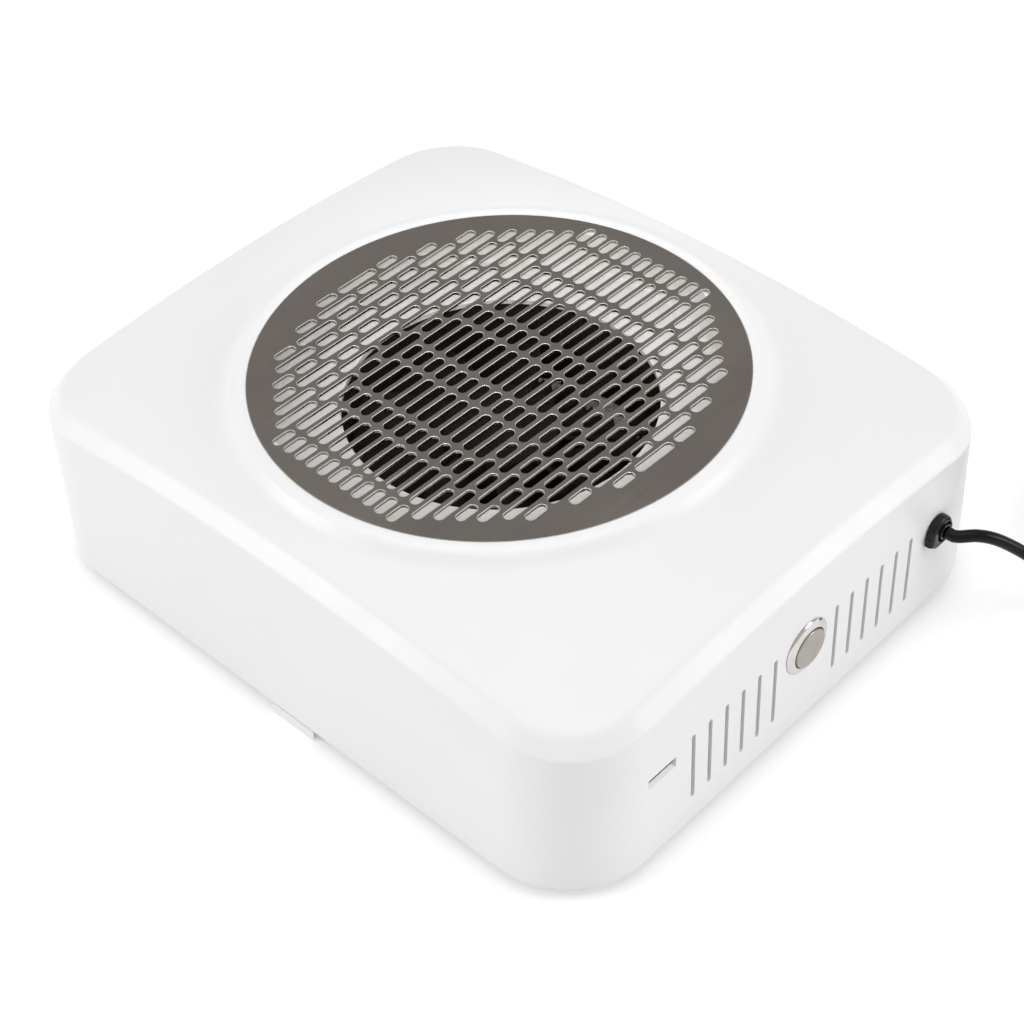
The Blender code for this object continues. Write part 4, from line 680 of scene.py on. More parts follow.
def housing_rows(settings):
    """The section all round: ring, dome, edge band, wall, foot, and the back of each."""
    grille = bpy.context.scene.dust_grille
    foot = settings.foot_height
    wall = settings.wall
    lip = grille.radius + 0.00015
    seat = grille.top - grille.thickness - 0.0003
    seat_bottom = seat - 0.0025
    skirt_start = lip + 0.015
    skirt_steps = 18
    under_skirt = lip + 0.0131

    def top_outline(inset):
        return outline_points(
            settings.half_length - inset, settings.top_half_width - inset, settings.top_corner - inset,
            settings,
        )

    def top_row(inset, rise):
        return [(x, y, crease_height(x, y, settings) + rise) for x, y in top_outline(inset)]

    def foot_row(inset, rise):
        outline = outline_points(
            settings.half_length - inset, settings.foot_half_width - inset, settings.foot_corner - inset,
            settings,
        )
        return [(x, y, foot + rise) for x, y in outline]

    def part_way(start, end, share):
        return [[a + (b - a) * share for a, b in zip(here, there)] for here, there in zip(start, end)]

    headings = [Vector(point).normalized() for point in top_outline(0.0)]
    rows = [heading_row(headings, lip, seat_bottom)]
    for out, rise in RING:
        rows.append(heading_row(headings, lip + out / 1000, grille.top + rise / 1000))
    skirt_end = [Vector(point) for point in top_outline(BAND[0][0] / 1000)]
    for step in range(skirt_steps):
        row = []
        for heading, end in zip(headings, skirt_end):
            flat = (heading * skirt_start).lerp(end, step / skirt_steps)
            row.append((flat.x, flat.y, crease_height(flat.x, flat.y, settings) + settings.band))
        rows.append(row)
    for inset, rise in BAND:
        rows.append(top_row(inset / 1000, rise / 1000))
    for share in (0.04, 0.12, 0.25, 0.4, 0.55, 0.7, 0.82, 0.9):
        rows.append(part_way(top_row(0.0, 0.0), foot_row(0.0, 0.0), share))
    for inset, rise in FOOT:
        rows.append(foot_row(inset / 1000, rise / 1000))
    for inset, rise in ((wall - 0.0003, 0.0), (wall, 0.0003)):
        rows.append(foot_row(inset, rise))
    for share in (0.3, 0.6, 0.93):
        rows.append(part_way(foot_row(wall, 0.0), top_row(wall, 0.0), share))
    for inset, rise in ((wall + 0.0002, -0.0026), (wall + 0.003, 0.0012), (wall + 0.0075, 0.003)):
        rows.append(top_row(inset, rise))
    rows.append(
        heading_row(headings, under_skirt, crease_height(under_skirt, 0.0, settings) + settings.band - wall)
    )
    rows.append(heading_row(headings, lip + 0.0066, seat_bottom))
    return rows


def screw_post(name, centre, foot, head, bore_depth):
    """A post with a round bore that is open at its foot."""
    bore_end = foot + bore_depth + 0.0001
    profile = (
        (SCREW_BORE, foot), (0.0043, foot), (0.0046, foot + 0.0003), (0.0046, head), (SCREW_BORE, head),
        (SCREW_BORE, bore_end),
    )
    return turned(name, profile, 24, centre=centre)


class DUST_OT_housing(bpy.types.Operator):
    """Makes the white housing shell with its ring, vents, slot and posts"""

    bl_idname = "dust_collector.housing"
    bl_label = "Housing"

    def execute(self, context):
        settings = context.scene.dust_housing
        shell = extruded("housing_skin", housing_rows(settings), smooth=40.0)
        face = settings.half_length
        cut(shell, join(self.cutters(settings, face - 0.004, face + 0.002), "openings"))
        # The vents lie nearer to the middle than the cord's bore and the slot do
        vents_end = 0.066
        soften_openings(shell, face, vents_end, 0.1, 0.00025)
        soften_openings(shell, face, 0.014, vents_end, 0.00045)
        weighted(smoothed(shell, 40.0))
        pieces = [shell]
        for base, fan in zip(corner_places(*BASE_POST), corner_places(*FAN_POST)):
            pieces.append(screw_post("base_post", base, 0.0086, 0.0806, 0.0175))
            pieces.append(screw_post("fan_post", fan, 0.0758, 0.0891, 0.011))
        shell = join(pieces, "housing_skin")
        dress(shell, "housing", the_white(), "white_plastic", "housing_shell")
        return {"FINISHED"}

    def cutters(self, settings, inside, outside):
        """What goes through the button wall: vents, two bores and the small slot."""
        half_width = settings.vent_width / 2
        half_height = settings.vent_height / 2
        rounding = min(half_width, half_height)
        cutters = []
        for side in (-1, 1):
            for index in range(settings.vent_count):
                centre = (side * (settings.vent_first + settings.vent_pitch * index), settings.vent_level)
                vent = rounded_rectangle(half_width, half_height, rounding, 8, centre)
                cutters.append(drawn("vent", vent, "X", inside, outside))
        low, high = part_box("cord_strain_relief")
        bores = (("button_bore", BUTTON_BORE, 0.0, 64), ("cord_bore", CORD_BORE, (low.y + high.y) / 2, 40))
        for name, radius, y, steps in bores:
            cutters.append(bore(name, radius, inside, outside, steps, (y, settings.button_level), "X"))
        cutters.append(self.window_cutter(settings.half_length, settings.window_top))
        return cutters

    def window_cutter(self, face, top):
        """The slot beside the button: open under its upper edge, with a ramp below."""
        section = (
            (face + 0.002, top), (face - 0.004, top), (face - 0.004, top - 0.007),
            (face - 0.0017, top - 0.007), (face - 0.0016, top - 0.00375), (face, top - 0.0049),
            (face + 0.002, top - 0.0049),
        )
        return drawn("window", section, "Y", *WINDOW_ENDS)


def soften_openings(shell, face, near, far, width):
    """Rounds the outer rims of the openings between two distances from the wall's middle."""
    pick(shell)
    bpy.ops.object.mode_set(mode="EDIT")
    bpy.ops.mesh.select_mode(type="EDGE")
    shape = bmesh.from_edit_mesh(shell.data)
    shape.normal_update()

    def is_rim(edge):
        if len(edge.link_faces) != 2:
            return False
        on_face = all(abs(vert.co.x - face) < 1e-5 for vert in edge.verts)
        normals = [abs(link.normal.x) > 0.9 for link in edge.link_faces]
        in_range = all(near < abs(vert.co.y) < far and 0.01 < vert.co.z < 0.06 for vert in edge.verts)
        return on_face and in_range and normals.count(True) == 1

    select_edges(shape, is_rim)
    bmesh.update_edit_mesh(shell.data)
    bpy.ops.mesh.bevel(offset=width, offset_type="OFFSET", segments=3, affect="EDGES", clamp_overlap=True)
    bpy.ops.object.mode_set(mode="OBJECT")


class DUST_OT_dish(bpy.types.Operator):
    """Makes the white dish under the grille"""

    bl_idname = "dust_collector.dish"
    bl_label = "Dish"

    def execute(self, context):
        fan = context.scene.dust_fan
        low = DISH_LOW.z
        seat = DISH_HIGH.z
        rim = 0.0951
        step = seat - 0.0028
        flange = DISH_HIGH.x
        profile = rounded_profile(
            (
                (fan.opening, low), (fan.opening, fan.dish_floor, 0.0004), (0.0865, fan.dish_floor, 0.0018),
                (0.0895, seat, 0.0006), (rim, seat, 0.0002), (rim, step), (flange, step, 0.0004),
                (flange, seat - 0.005, 0.0004), (0.0917, seat - 0.005, 0.001), (0.0887, low),
            ),
            5,
        )
        dish = weighted(turned("dish_bowl", profile, 160, smooth=40.0))
        # The dish's brighter white stands in for light: painted light.
        dress(dish, "housing", white_plastic("lit_dish_white", fan.lit_dish_colour), "white_plastic", "fan_dish")
        return {"FINISHED"}


# Grille

# Rows of slots in each column, from the middle column outwards
COLUMN_ROWS = (6, 6, 6, 6, 6, 6, 4, 5, 5, 4, 4, 4, 3, 2)


def slot_places(settings):
    """Every slot as (column place, row place, length)."""
    places = []
    last = len(COLUMN_ROWS) - 1
    for column in range(-last, last + 1):
        size = abs(column)
        x = column * settings.column_pitch
        lengths = [settings.long_slot, settings.short_slot]
        if size > 5 and size % 2 == 0:
            lengths.reverse()
        end = COLUMN_ROWS[size] - 1
        for row in range(-end, end + 1):
            places.append((x, row * settings.row_pitch, lengths[row % 2]))
        if size in (6, 9):
            length = lengths[end % 2]
            reach = end * settings.row_pitch + length + settings.slot_web
            places.append((x, reach, length))
            places.append((x, -reach, length))
    return places


class DUST_OT_grille(bpy.types.Operator):
    """Makes the loose steel disc with its columns of round-ended slots"""

    bl_idname = "dust_collector.grille"
    bl_label = "Grille"

    def execute(self, context):
        settings = context.scene.dust_grille
        low = settings.top - settings.thickness
        profile = rounded_profile(
            (
                (0.001, low), (settings.radius, low, 0.00015), (settings.radius, settings.top, 0.00025),
                (0.001, settings.top),
            ),
            3,
        )
        grille = turned("grille_plate", profile[1:-1], 192, ends="fill", smooth=50.0)
        cut(grille, self.slot_cutters(settings, low))
        weighted(smoothed(cleaned(grille), 40.0))
        dress(grille, "grille", satin_steel(settings.colour), "grille_steel", "grille_disc")
        grille.data.materials.append(cut_and_lit_steel("cut_and_lit_steel", settings.edge_colour))
        grille.data.materials.append(cut_and_lit_steel("lit_underside_steel", settings.lit_back_colour))
        grille.data.materials.append(rim_highlight_steel(settings.rim_highlight_colour))
        # Faces are coloured by the way they point: the underside as painted light, the walls as partly
        # painted highlight, the rims as painted highlight; the dark top is a painted dark reflection.
        for face in grille.data.polygons:
            if face.normal.z < -0.9:
                face.material_index = 2
            elif face.normal.z < 0.2:
                face.material_index = 1
            elif face.normal.z < 0.9:
                face.material_index = 3
        return {"FINISHED"}

    def slot_cutters(self, settings, low):
        """One long and one short punch, each copied to its places, as one piece."""
        flare = 0.00019
        sections = ((0.0, low - 0.001), (0.0, settings.top - flare), (2 * flare, settings.top + flare))
        punches = {}
        for length in (settings.long_slot, settings.short_slot):
            rows = []
            for grow, height in sections:
                half_x = settings.slot_width / 2 + grow
                outline = rounded_rectangle(half_x, length / 2 + grow, half_x, 8)
                rows.append([(x, y, height) for x, y in outline])
            punches[length] = extruded("punch", rows, "fill")
        cutters = []
        spin = Matrix.Rotation(settings.turn, 4, "Z")
        for x, y, length in slot_places(settings):
            cutters.append(copied(punches[length], "slot", spin @ Matrix.Translation((x, y, 0.0))))
        for punch in punches.values():
            bpy.data.objects.remove(punch, do_unlink=True)
        return join(cutters, "slots")


# Fan

def fan_blade(settings, index):
    """A swept blade: a plane subdivided, curved by rule and thickened."""
    clear_selection()
    bpy.ops.mesh.primitive_plane_add(size=1.0)
    blade = named("blade")
    bpy.ops.object.mode_set(mode="EDIT")
    bpy.ops.mesh.subdivide(number_cuts=11)
    bpy.ops.object.mode_set(mode="OBJECT")
    root = settings.hub_radius - 0.0009
    tip = settings.opening - 0.0015
    rotor_low, rotor_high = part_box("fan_rotor")
    middle = (rotor_low.z + rotor_high.z) / 2
    half_rise = 0.0092
    for vert in blade.data.vertices:
        share = vert.co.x + 0.5
        along = vert.co.y * 2
        radius = root + (tip - root) * share
        lean = math.radians(14.0) * share
        bow = math.radians(3.5) * (1 - along * along)
        angle = math.radians(15.0) * along + lean + bow + math.tau * index / settings.blade_count
        rise = half_rise * (1.0 - 0.12 * share)
        vert.co = (radius * math.cos(angle), radius * math.sin(angle), middle - rise * along)
    modified(blade, "SOLIDIFY", thickness=settings.blade_thickness, offset=0.0)
    return smoothed(cleaned(beveled(blade, 0.0004, 50.0)), 40.0)


class DUST_OT_fan(bpy.types.Operator):
    """Makes the fan's frame and its rotor with swept blades"""

    bl_idname = "dust_collector.fan"
    bl_label = "Fan"

    def execute(self, context):
        settings = context.scene.dust_fan
        self.make_frame(settings)
        self.make_rotor(settings)
        return {"FINISHED"}

    def make_frame(self, settings):
        top = FRAME_HIGH.z
        low = FRAME_LOW.z
        inner = settings.opening
        outer = inner + 0.003
        plate = even_square(0.079, 0.079, 0.01)
        skirt = even_square(0.0905, 0.0775, 0.004)
        headings = [point.normalized() for point in plate]

        def circle(radius, height):
            return heading_row(headings, radius, height)

        def flat(points, height, inset=0.0):
            return [Vector((p.x - h.x * inset, p.y - h.y * inset, height)) for p, h in zip(points, headings)]

        rows = [
            circle(inner, top - 0.0004), circle(inner + 0.0003, top), flat(plate, top, 0.0003),
            flat(plate, top - 0.0003), flat(plate, top - 0.0037), flat(plate, top - 0.004, 0.0003),
            circle(outer + 0.0008, top - 0.004), circle(outer, top - 0.0048), circle(outer, low + 0.0043),
            circle(outer + 0.0008, low + 0.0035), flat(skirt, low + 0.0035, 0.0002),
            flat(skirt, low + 0.0033), flat(skirt, low + 0.0007), flat(skirt, low + 0.0005, 0.0002),
            circle(outer, low + 0.0005), circle(inner + 0.002, low), circle(inner + 0.0003, low),
            circle(inner, low + 0.0003),
        ]
        body = extruded("fan_body", rows, smooth=40.0)
        bores = []
        for place in corner_places(*FAN_POST):
            bores.append(bore("bore", SCREW_BORE, top - 0.006, top + 0.001, 24, place))
        cut(body, join(bores, "bores"))
        parts = [smoothed(body, 40.0), self.motor_cup(low)]
        for index in range(4):
            angle = math.tau * (index + 0.5) / 4
            strut = block("strut", (0.02, -0.003, low + 0.0005), (inner + 0.001, 0.003, low + 0.0036))
            softened(strut, 0.0006)
            parts.append(copied(strut, "strut", Matrix.Rotation(angle, 4, "Z")))
            bpy.data.objects.remove(strut, do_unlink=True)
        dress(join(parts, "fan_housing"), "housing", the_black(), "black_plastic", "fan_frame")

    def motor_cup(self, low):
        """The cup under the stator, with the tube that holds the bearings."""
        tube_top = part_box("fan_bearing_upper")[1].z
        floor = low + 0.004
        tube = 0.0045
        tube_outside = 0.0062
        cup = 0.0215
        shaft_bore = 0.0018
        profile = rounded_profile(
            (
                (tube, floor - 0.002), (tube, tube_top, 0.0003), (tube_outside, tube_top, 0.0004),
                (tube_outside, floor, 0.0005), (cup, floor, 0.0006), (cup, low, 0.0008), (shaft_bore, low),
                (shaft_bore, floor - 0.002),
            ),
            3,
        )
        return turned("motor_cup", profile, 72, smooth=40.0)

    def make_rotor(self, settings):
        low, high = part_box("fan_rotor")
        radius = settings.hub_radius
        profile = rounded_profile(
            (
                (0.003, high.z - 0.0004), (0.0105, high.z - 0.0004, 0.0002), (0.0109, high.z, 0.0002),
                (radius - 0.0035, high.z), (radius, high.z, 0.0024), (radius, low.z, 0.0003),
                (radius - 0.0018, low.z, 0.0003), (radius - 0.0018, high.z - 0.0018, 0.001),
                (0.003, high.z - 0.0018),
            )
        )
        pieces = [turned("hub", profile, 96, ends="point", smooth=40.0)]
        for index in range(settings.blade_count):
            pieces.append(fan_blade(settings, index))
        dress(join(pieces, "fan_wheel"), "fan", the_black(), "black_plastic", "fan_rotor")


def even_square(half_x, half_y, radius):
    """A rounded rectangle with points along its sides as well."""
    corner_steps = 8
    side_steps = 20
    corners = [Vector(point) for point in rounded_rectangle(half_x, half_y, radius, corner_steps)]
    count = corner_steps + 1
    points = []
    for quarter in range(4):
        first = quarter * count
        points.extend(corners[first:first + count])
        here = corners[first + count - 1]
        there = corners[(first + count) % len(corners)]
        for step in range(1, side_steps):
            points.append(here.lerp(there, step / side_steps))
    return points


# Button

class DUST_OT_button(bpy.types.Operator):
    """Makes the push button's polished bezel and nut and its brushed cap"""

    bl_idname = "dust_collector.button"
    bl_label = "Button"

    def execute(self, context):
        settings = context.scene.dust_button
        centre = (0.0, context.scene.dust_housing.button_level)
        polished = metal("polished_bezel", settings.bezel_colour, 0.1, 0.17, 300.0)
        brushed = metal("brushed_cap", settings.cap_colour, 0.26, 0.4, 2600.0, (1.0, 0.04, 1.0), 0.1)
        back = BEZEL_HIGH.x - 0.001
        front = BEZEL_HIGH.x
        bore_radius = 0.0084
        thread_radius = 0.0092
        rim = settings.bezel_radius
        profile = rounded_profile(
            (
                (bore_radius, front - 0.0012), (bore_radius, front + 0.0003, 0.0001),
                (bore_radius + 0.0003, front + 0.0005, 0.0001),
                (bore_radius + 0.0007, front + 0.0005, 0.0004), (rim - 0.0003, back + 0.0004, 0.0006),
                (rim, back, 0.0002), (thread_radius, back), (thread_radius, BEZEL_LOW.x, 0.0003),
                (0.0045, BEZEL_LOW.x), (0.0045, front - 0.013), (bore_radius, front - 0.013),
            )
        )
        bezel = weighted(turned("button_ring", profile, 128, "X", centre, smooth=35.0))
        dress(bezel, "housing", polished, "polished_metal", "button_bezel")
        radius = settings.cap_radius
        front = CAP_HIGH.x
        profile = rounded_profile(
            (
                (0.001, front), (radius - 0.0003, front, 0.0002), (radius, front - 0.0003, 0.0002),
                (radius, CAP_LOW.x, 0.0002), (0.001, CAP_LOW.x),
            )
        )
        cap = weighted(turned("button_face", profile, 96, "X", centre, "point", 35.0))
        dress(cap, "button", brushed, "brushed_metal", "button_cap")
        dress(refined("button_nut", "ring_nut", 0.0004), "housing", polished, "polished_metal", "button_nut")
        return {"FINISHED"}


# Cord, strain relief and plug

CORD_EXIT = Vector((0.153, 0.08, 0.0444))
CORD_ROUTE = (
    (0.1575, 0.0816, 0.0442), (0.1593, 0.0834, 0.0443), (0.1614, 0.0858, 0.0441), (0.1652, 0.0903, 0.0421),
    (0.1692, 0.0951, 0.0382), (0.1746, 0.1009, 0.032), (0.181, 0.1076, 0.0236), (0.188, 0.1153, 0.0146),
    (0.196, 0.1248, 0.0066), (0.2045, 0.1349, 0.0036), (0.212, 0.1438, 0.0034),
)
TAIL_ROUTE = (
    (0.2286, 0.1638, 0.0092), (0.2332, 0.1704, 0.0081), (0.2366, 0.1782, 0.007), (0.2382, 0.186, 0.0069),
)
PLUG_BACK = Vector((0.2385, 0.193, 0.00685))
PLUG_LENGTH = 0.047
GRIP_LENGTH = 0.012
PIN_OFFSET = 0.0093
COIL_CENTRE = Vector((0.19, 0.18, 0.0))
COIL_RADIUS = 0.03
COIL_PITCH = 0.0062
COIL_START = math.radians(-40.0)
COIL_TURNS = 3.25
COIL_CLIMB = 0.5
COIL_TIE = math.radians(-85.0)


def smooth_route(route, step, start_heading, end_heading):
    """Points along a smooth curve through the route, about one step apart."""
    headings = []
    for index in range(len(route)):
        before = route[max(index - 1, 0)]
        after = route[min(index + 1, len(route) - 1)]
        headings.append((after - before).normalized())
    headings[0] = start_heading
    headings[-1] = end_heading
    dense = []
    for index in range(len(route) - 1):
        here = route[index]
        there = route[index + 1]
        reach = (there - here).length / 3
        samples = interpolate_bezier(
            here, here + headings[index] * reach, there - headings[index + 1] * reach, there, 24
        )
        dense.extend(samples if index == 0 else samples[1:])
    return resampled(dense, max(2, round(line_length(dense) / step)))


def coil_points(radius):
    """The coil's line: a spiral in, a climb to the next layer, a spiral out."""
    per_turn = 48
    outer = COIL_RADIUS + COIL_PITCH * COIL_TURNS / 2
    total = 2 * COIL_TURNS + COIL_CLIMB
    steps = round(total * per_turn)
    points = []
    for step in range(steps + 1):
        done = total * step / steps
        climb = min(1.0, max(0.0, (done - COIL_TURNS) / COIL_CLIMB))
        reach = outer - COIL_PITCH * min(done, COIL_TURNS, total - done)
        angle = COIL_START + math.tau * done
        x = COIL_CENTRE.x + reach * math.cos(angle)
        y = COIL_CENTRE.y + reach * math.sin(angle)
        points.append(Vector((x, y, radius + 0.0009 + COIL_PITCH * climb)))
    first = (points[0] - points[1]).normalized()
    last = (points[-1] - points[-2]).normalized()
    return [points[0] + first * 2 * radius] + points + [points[-1] + last * 2 * radius]


def cord_line(radius):
    """The whole cord's line, from the strain relief to the plug."""
    coil = coil_points(radius)
    coil_in = (coil[1] - coil[0]).normalized()
    coil_out = (coil[-1] - coil[-2]).normalized()
    out = Vector((1.0, 0.0, 0.0))
    plug = Vector((0.0, 1.0, 0.0))
    near = CORD_EXIT + out * radius
    far = coil[0] - coil_in * radius
    route = [near] + [Vector(point) for point in CORD_ROUTE] + [far]
    free = [CORD_EXIT] + smooth_route(route, 0.002, out, coil_in)
    near = coil[-1] + coil_out * radius
    far = PLUG_BACK - plug * radius
    tail = smooth_route([near] + [Vector(point) for point in TAIL_ROUTE] + [far], 0.003, coil_out, plug)
    return free + coil + tail + [PLUG_BACK - plug * 0.0003]


class DUST_OT_cord(bpy.types.Operator):
    """Makes the mains cord, its tie, the strain relief, the plug and its pins"""

    bl_idname = "dust_collector.cord"
    bl_label = "Cord"

    def execute(self, context):
        settings = context.scene.dust_cord
        relief = self.make_relief(settings)
        plug = self.make_plug()
        pins = self.make_pins()
        tie = self.make_tie(settings)
        points = cord_line(settings.radius)
        cord = self.make_cord(settings, points)
        relief_black = black_plastic("relief_black", settings.colour, 0.18, 0.28, 1500.0, 0.04, 0.26)
        plug_black = black_plastic("plug_black", settings.colour, 0.3, 0.42)
        dress(cord, "housing", the_cord_black(), "cord_black", "cord_free", "cord_coil", "cord_tail")
        dress(relief, "housing", relief_black, "black_plastic", "cord_strain_relief")
        dress(plug, "housing", plug_black, "black_plastic", "plug_body")
        return {"FINISHED"}

    def make_cord(self, settings, points):
        """A circle extruded along the line, each loop square to it."""
        steps = 20
        rows = []
        side = Vector((0.0, 0.0, 1.0))
        for index, point in enumerate(points):
            before = points[max(index - 1, 0)]
            after = points[min(index + 1, len(points) - 1)]
            heading = (after - before).normalized()
            side = (side - heading * side.dot(heading)).normalized()
            across = heading.cross(side)
            row = []
            for step in range(steps):
                angle = math.tau * step / steps
                row.append(point + (side * math.cos(angle) + across * math.sin(angle)) * settings.radius)
            rows.append(row)
        return extruded("mains_cord", rows, "point", 50.0)

    def make_relief(self, settings):
        """The snap-in head: a rounded block with flattened lower corners, a
        hollow round the cord and a short spout."""
        half_width = settings.relief_width / 2
        half_height = settings.relief_height / 2
        head_middle = CORD_EXIT.y - 0.0008
        arch = half_width - 0.0005
        rise = half_height - 0.0003
        outline = []
        for step in range(29):
            angle = math.pi * step / 28
            outline.append((arch * math.cos(angle) - 0.0005, 0.0003 + rise * math.sin(angle)))
        corners = (
            (-half_width - 0.0003, 0.0001), (-half_width - 0.0003, -0.0038),
            (-0.004, -half_height + 0.0008), (0.0033, -half_height + 0.0008),
            (half_width - 0.0007, -0.0038), (half_width - 0.0007, 0.0001),
        )
        for here, there in zip(corners, corners[1:]):
            for step in range(4):
                outline.append(tuple(a + (b - a) * step / 4 for a, b in zip(here, there)))
        outline.append(corners[-1])
        back = HOUSING_HIGH.x + 0.0003
        front = back + settings.relief_thickness

        def outer(x, scale):
            return [Vector((x, head_middle + a * scale, CORD_EXIT.z + b * scale)) for a, b in outline]

        def inner(x, radius):
            row = []
            for a, b in outline:
                away = Vector((a, b)).normalized() * radius
                row.append(Vector((x, CORD_EXIT.y + away.x, CORD_EXIT.z + away.y)))
            return row

        rows = [
            inner(back, 0.005), outer(back, 0.985), outer(back + 0.0003, 1.0), outer(front - 0.0014, 1.0),
            outer(front - 0.0008, 0.97), outer(front - 0.0003, 0.91), outer(front - 0.0001, 0.84),
            outer(front, 0.76), inner(front, 0.0046), inner(front - 0.0002, 0.0043),
            inner(front - 0.0016, 0.0041), inner(front - 0.0019, 0.0038), inner(front - 0.0016, 0.0035),
            inner(front + 0.0002, 0.0033), inner(front + 0.0005, 0.003), inner(front + 0.0004, 0.0026),
            inner(front - 0.001, 0.0026), inner(back - 0.0099, 0.0026), inner(back - 0.01, 0.0036),
            inner(back - 0.0096, 0.004), inner(back - 0.005, 0.005),
        ]
        return weighted(extruded("cord_grommet", rows, smooth=35.0))

    def make_tie(self, settings):
        """A flat strap round all the strands at one place of the coil."""
        out = Vector((math.cos(COIL_TIE), math.sin(COIL_TIE), 0.0))
        round_coil = Vector((-out.y, out.x, 0.0))
        strands = []
        for point in coil_points(settings.radius):
            arm = Vector((point.x, point.y, 0.0)) - COIL_CENTRE
            if arm.normalized().dot(out) > math.cos(math.radians(1.3)):
                strands.append((arm.dot(out), point.z))

        def strap_row(reach, place):
            corners = []
            for across, up in strands:
                for step in range(48):
                    turn = math.tau * (step + 0.5) / 48
                    corners.append((across + reach * math.cos(turn), up + reach * math.sin(turn)))
            hull = [Vector(corners[index]) for index in convex_hull_2d(corners)]
            row = resampled(hull + hull[:1], 72)[:-1]
            return [COIL_CENTRE + out * a + Vector((0.0, 0.0, b)) + round_coil * place for a, b in row]

        half = settings.tie_width / 2
        near = settings.radius + 0.0002
        far = near + settings.tie_thickness
        soft = 0.00015
        rows = [
            strap_row(near, -half), strap_row(far - soft, -half), strap_row(far, -half + soft),
            strap_row(far, half - soft), strap_row(far - soft, half), strap_row(near, half),
        ]
        tie = extruded("cord_tie_strap", rows, smooth=35.0)
        weave = black_plastic("tie_black", (0.02, 0.02, 0.021), 0.55, 0.7, 1200.0, 0.25)
        return dress(tie, "housing", weave, "cord_black", "cord_tie")

    def make_plug(self):
        """A flat two-pin plug with a ribbed grip towards the cord."""
        back = PLUG_BACK.y
        grip_end = back + GRIP_LENGTH
        front = back + PLUG_LENGTH

        def section(y, half_width, half_height, corner):
            points = rounded_rectangle(half_width, half_height, corner, 6, (PLUG_BACK.x, PLUG_BACK.z))
            return [Vector((x, y, z)) for x, z in points]

        rows = [section(back, 0.0028, 0.0028, 0.0027)]
        for index in range(5):
            start = back + 0.0003 + index * 0.0022
            rib = 0.0036 + 0.0001 * index
            groove = rib - 0.0007
            for along, radius in ((0.0, rib), (0.0013, rib), (0.0015, groove), (0.002, groove)):
                rows.append(section(start + along, radius, radius, radius * 0.98))
        shape = (
            (-0.0008, 0.0048, 0.0042, 0.004), (0.0004, 0.0068, 0.0047, 0.004),
            (0.0016, 0.008, 0.0053, 0.004), (0.004, 0.009, 0.006, 0.0038), (0.008, 0.011, 0.0066, 0.0036),
            (0.012, 0.0134, 0.00685, 0.0036), (0.017, 0.0162, 0.00685, 0.0036),
            (0.021, 0.0175, 0.00685, 0.0036), (0.024, 0.0178, 0.00685, 0.0036),
            (0.0338, 0.0178, 0.00685, 0.0036), (0.0346, 0.0175, 0.0066, 0.0034),
            (0.035, 0.0168, 0.0059, 0.003),
        )
        for along, half_width, half_height, corner in shape:
            rows.append(section(grip_end + along, half_width, half_height, corner))
        plug = extruded("plug_shell", rows, "fill", 35.0)
        seats = []
        for side in (-1, 1):
            centre = (PLUG_BACK.x + side * PIN_OFFSET, PLUG_BACK.z)
            seats.append(bore("seat", 0.0023, front - 0.004, front + 0.001, 32, centre, "Y"))
        cut(plug, join(seats, "seats"))
        return weighted(smoothed(plug, 35.0))

    def make_pins(self):
        """Round pins: a black sleeve near the plug and a bare metal tip."""
        front = PLUG_BACK.y + PLUG_LENGTH
        sleeve_end = front + 0.01
        sleeve = black_plastic("pin_sleeve", (0.02, 0.02, 0.021), 0.35, 0.45)
        bare = metal("pin_metal", (0.68, 0.66, 0.62), 0.14, 0.24, 500.0)
        profile = (
            (0.001, front - 0.0037), (0.0019, front - 0.0037), (0.0019, front + 0.0098),
            (0.00185, sleeve_end), (0.002, front + 0.0102), (0.002, front + 0.017),
            (0.00185, front + 0.0179), (0.0015, front + 0.0186), (0.001, front + 0.019),
        )
        pins = []
        for name, side in (("left", -1), ("right", 1)):
            centre = (PLUG_BACK.x + side * PIN_OFFSET, PLUG_BACK.z)
            pin = turned(f"pin_{name}", profile, 32, "Y", centre, "fill", 35.0)
            dress(pin, "housing", bare, "polished_metal", f"plug_pin_{name}")
            pin.data.materials.append(sleeve)
            for face in pin.data.polygons:
                if face.center.y < sleeve_end:
                    face.material_index = 1
            pins.append(pin)
        return pins


# Underside: base plate, screws, feet, hatch and filter

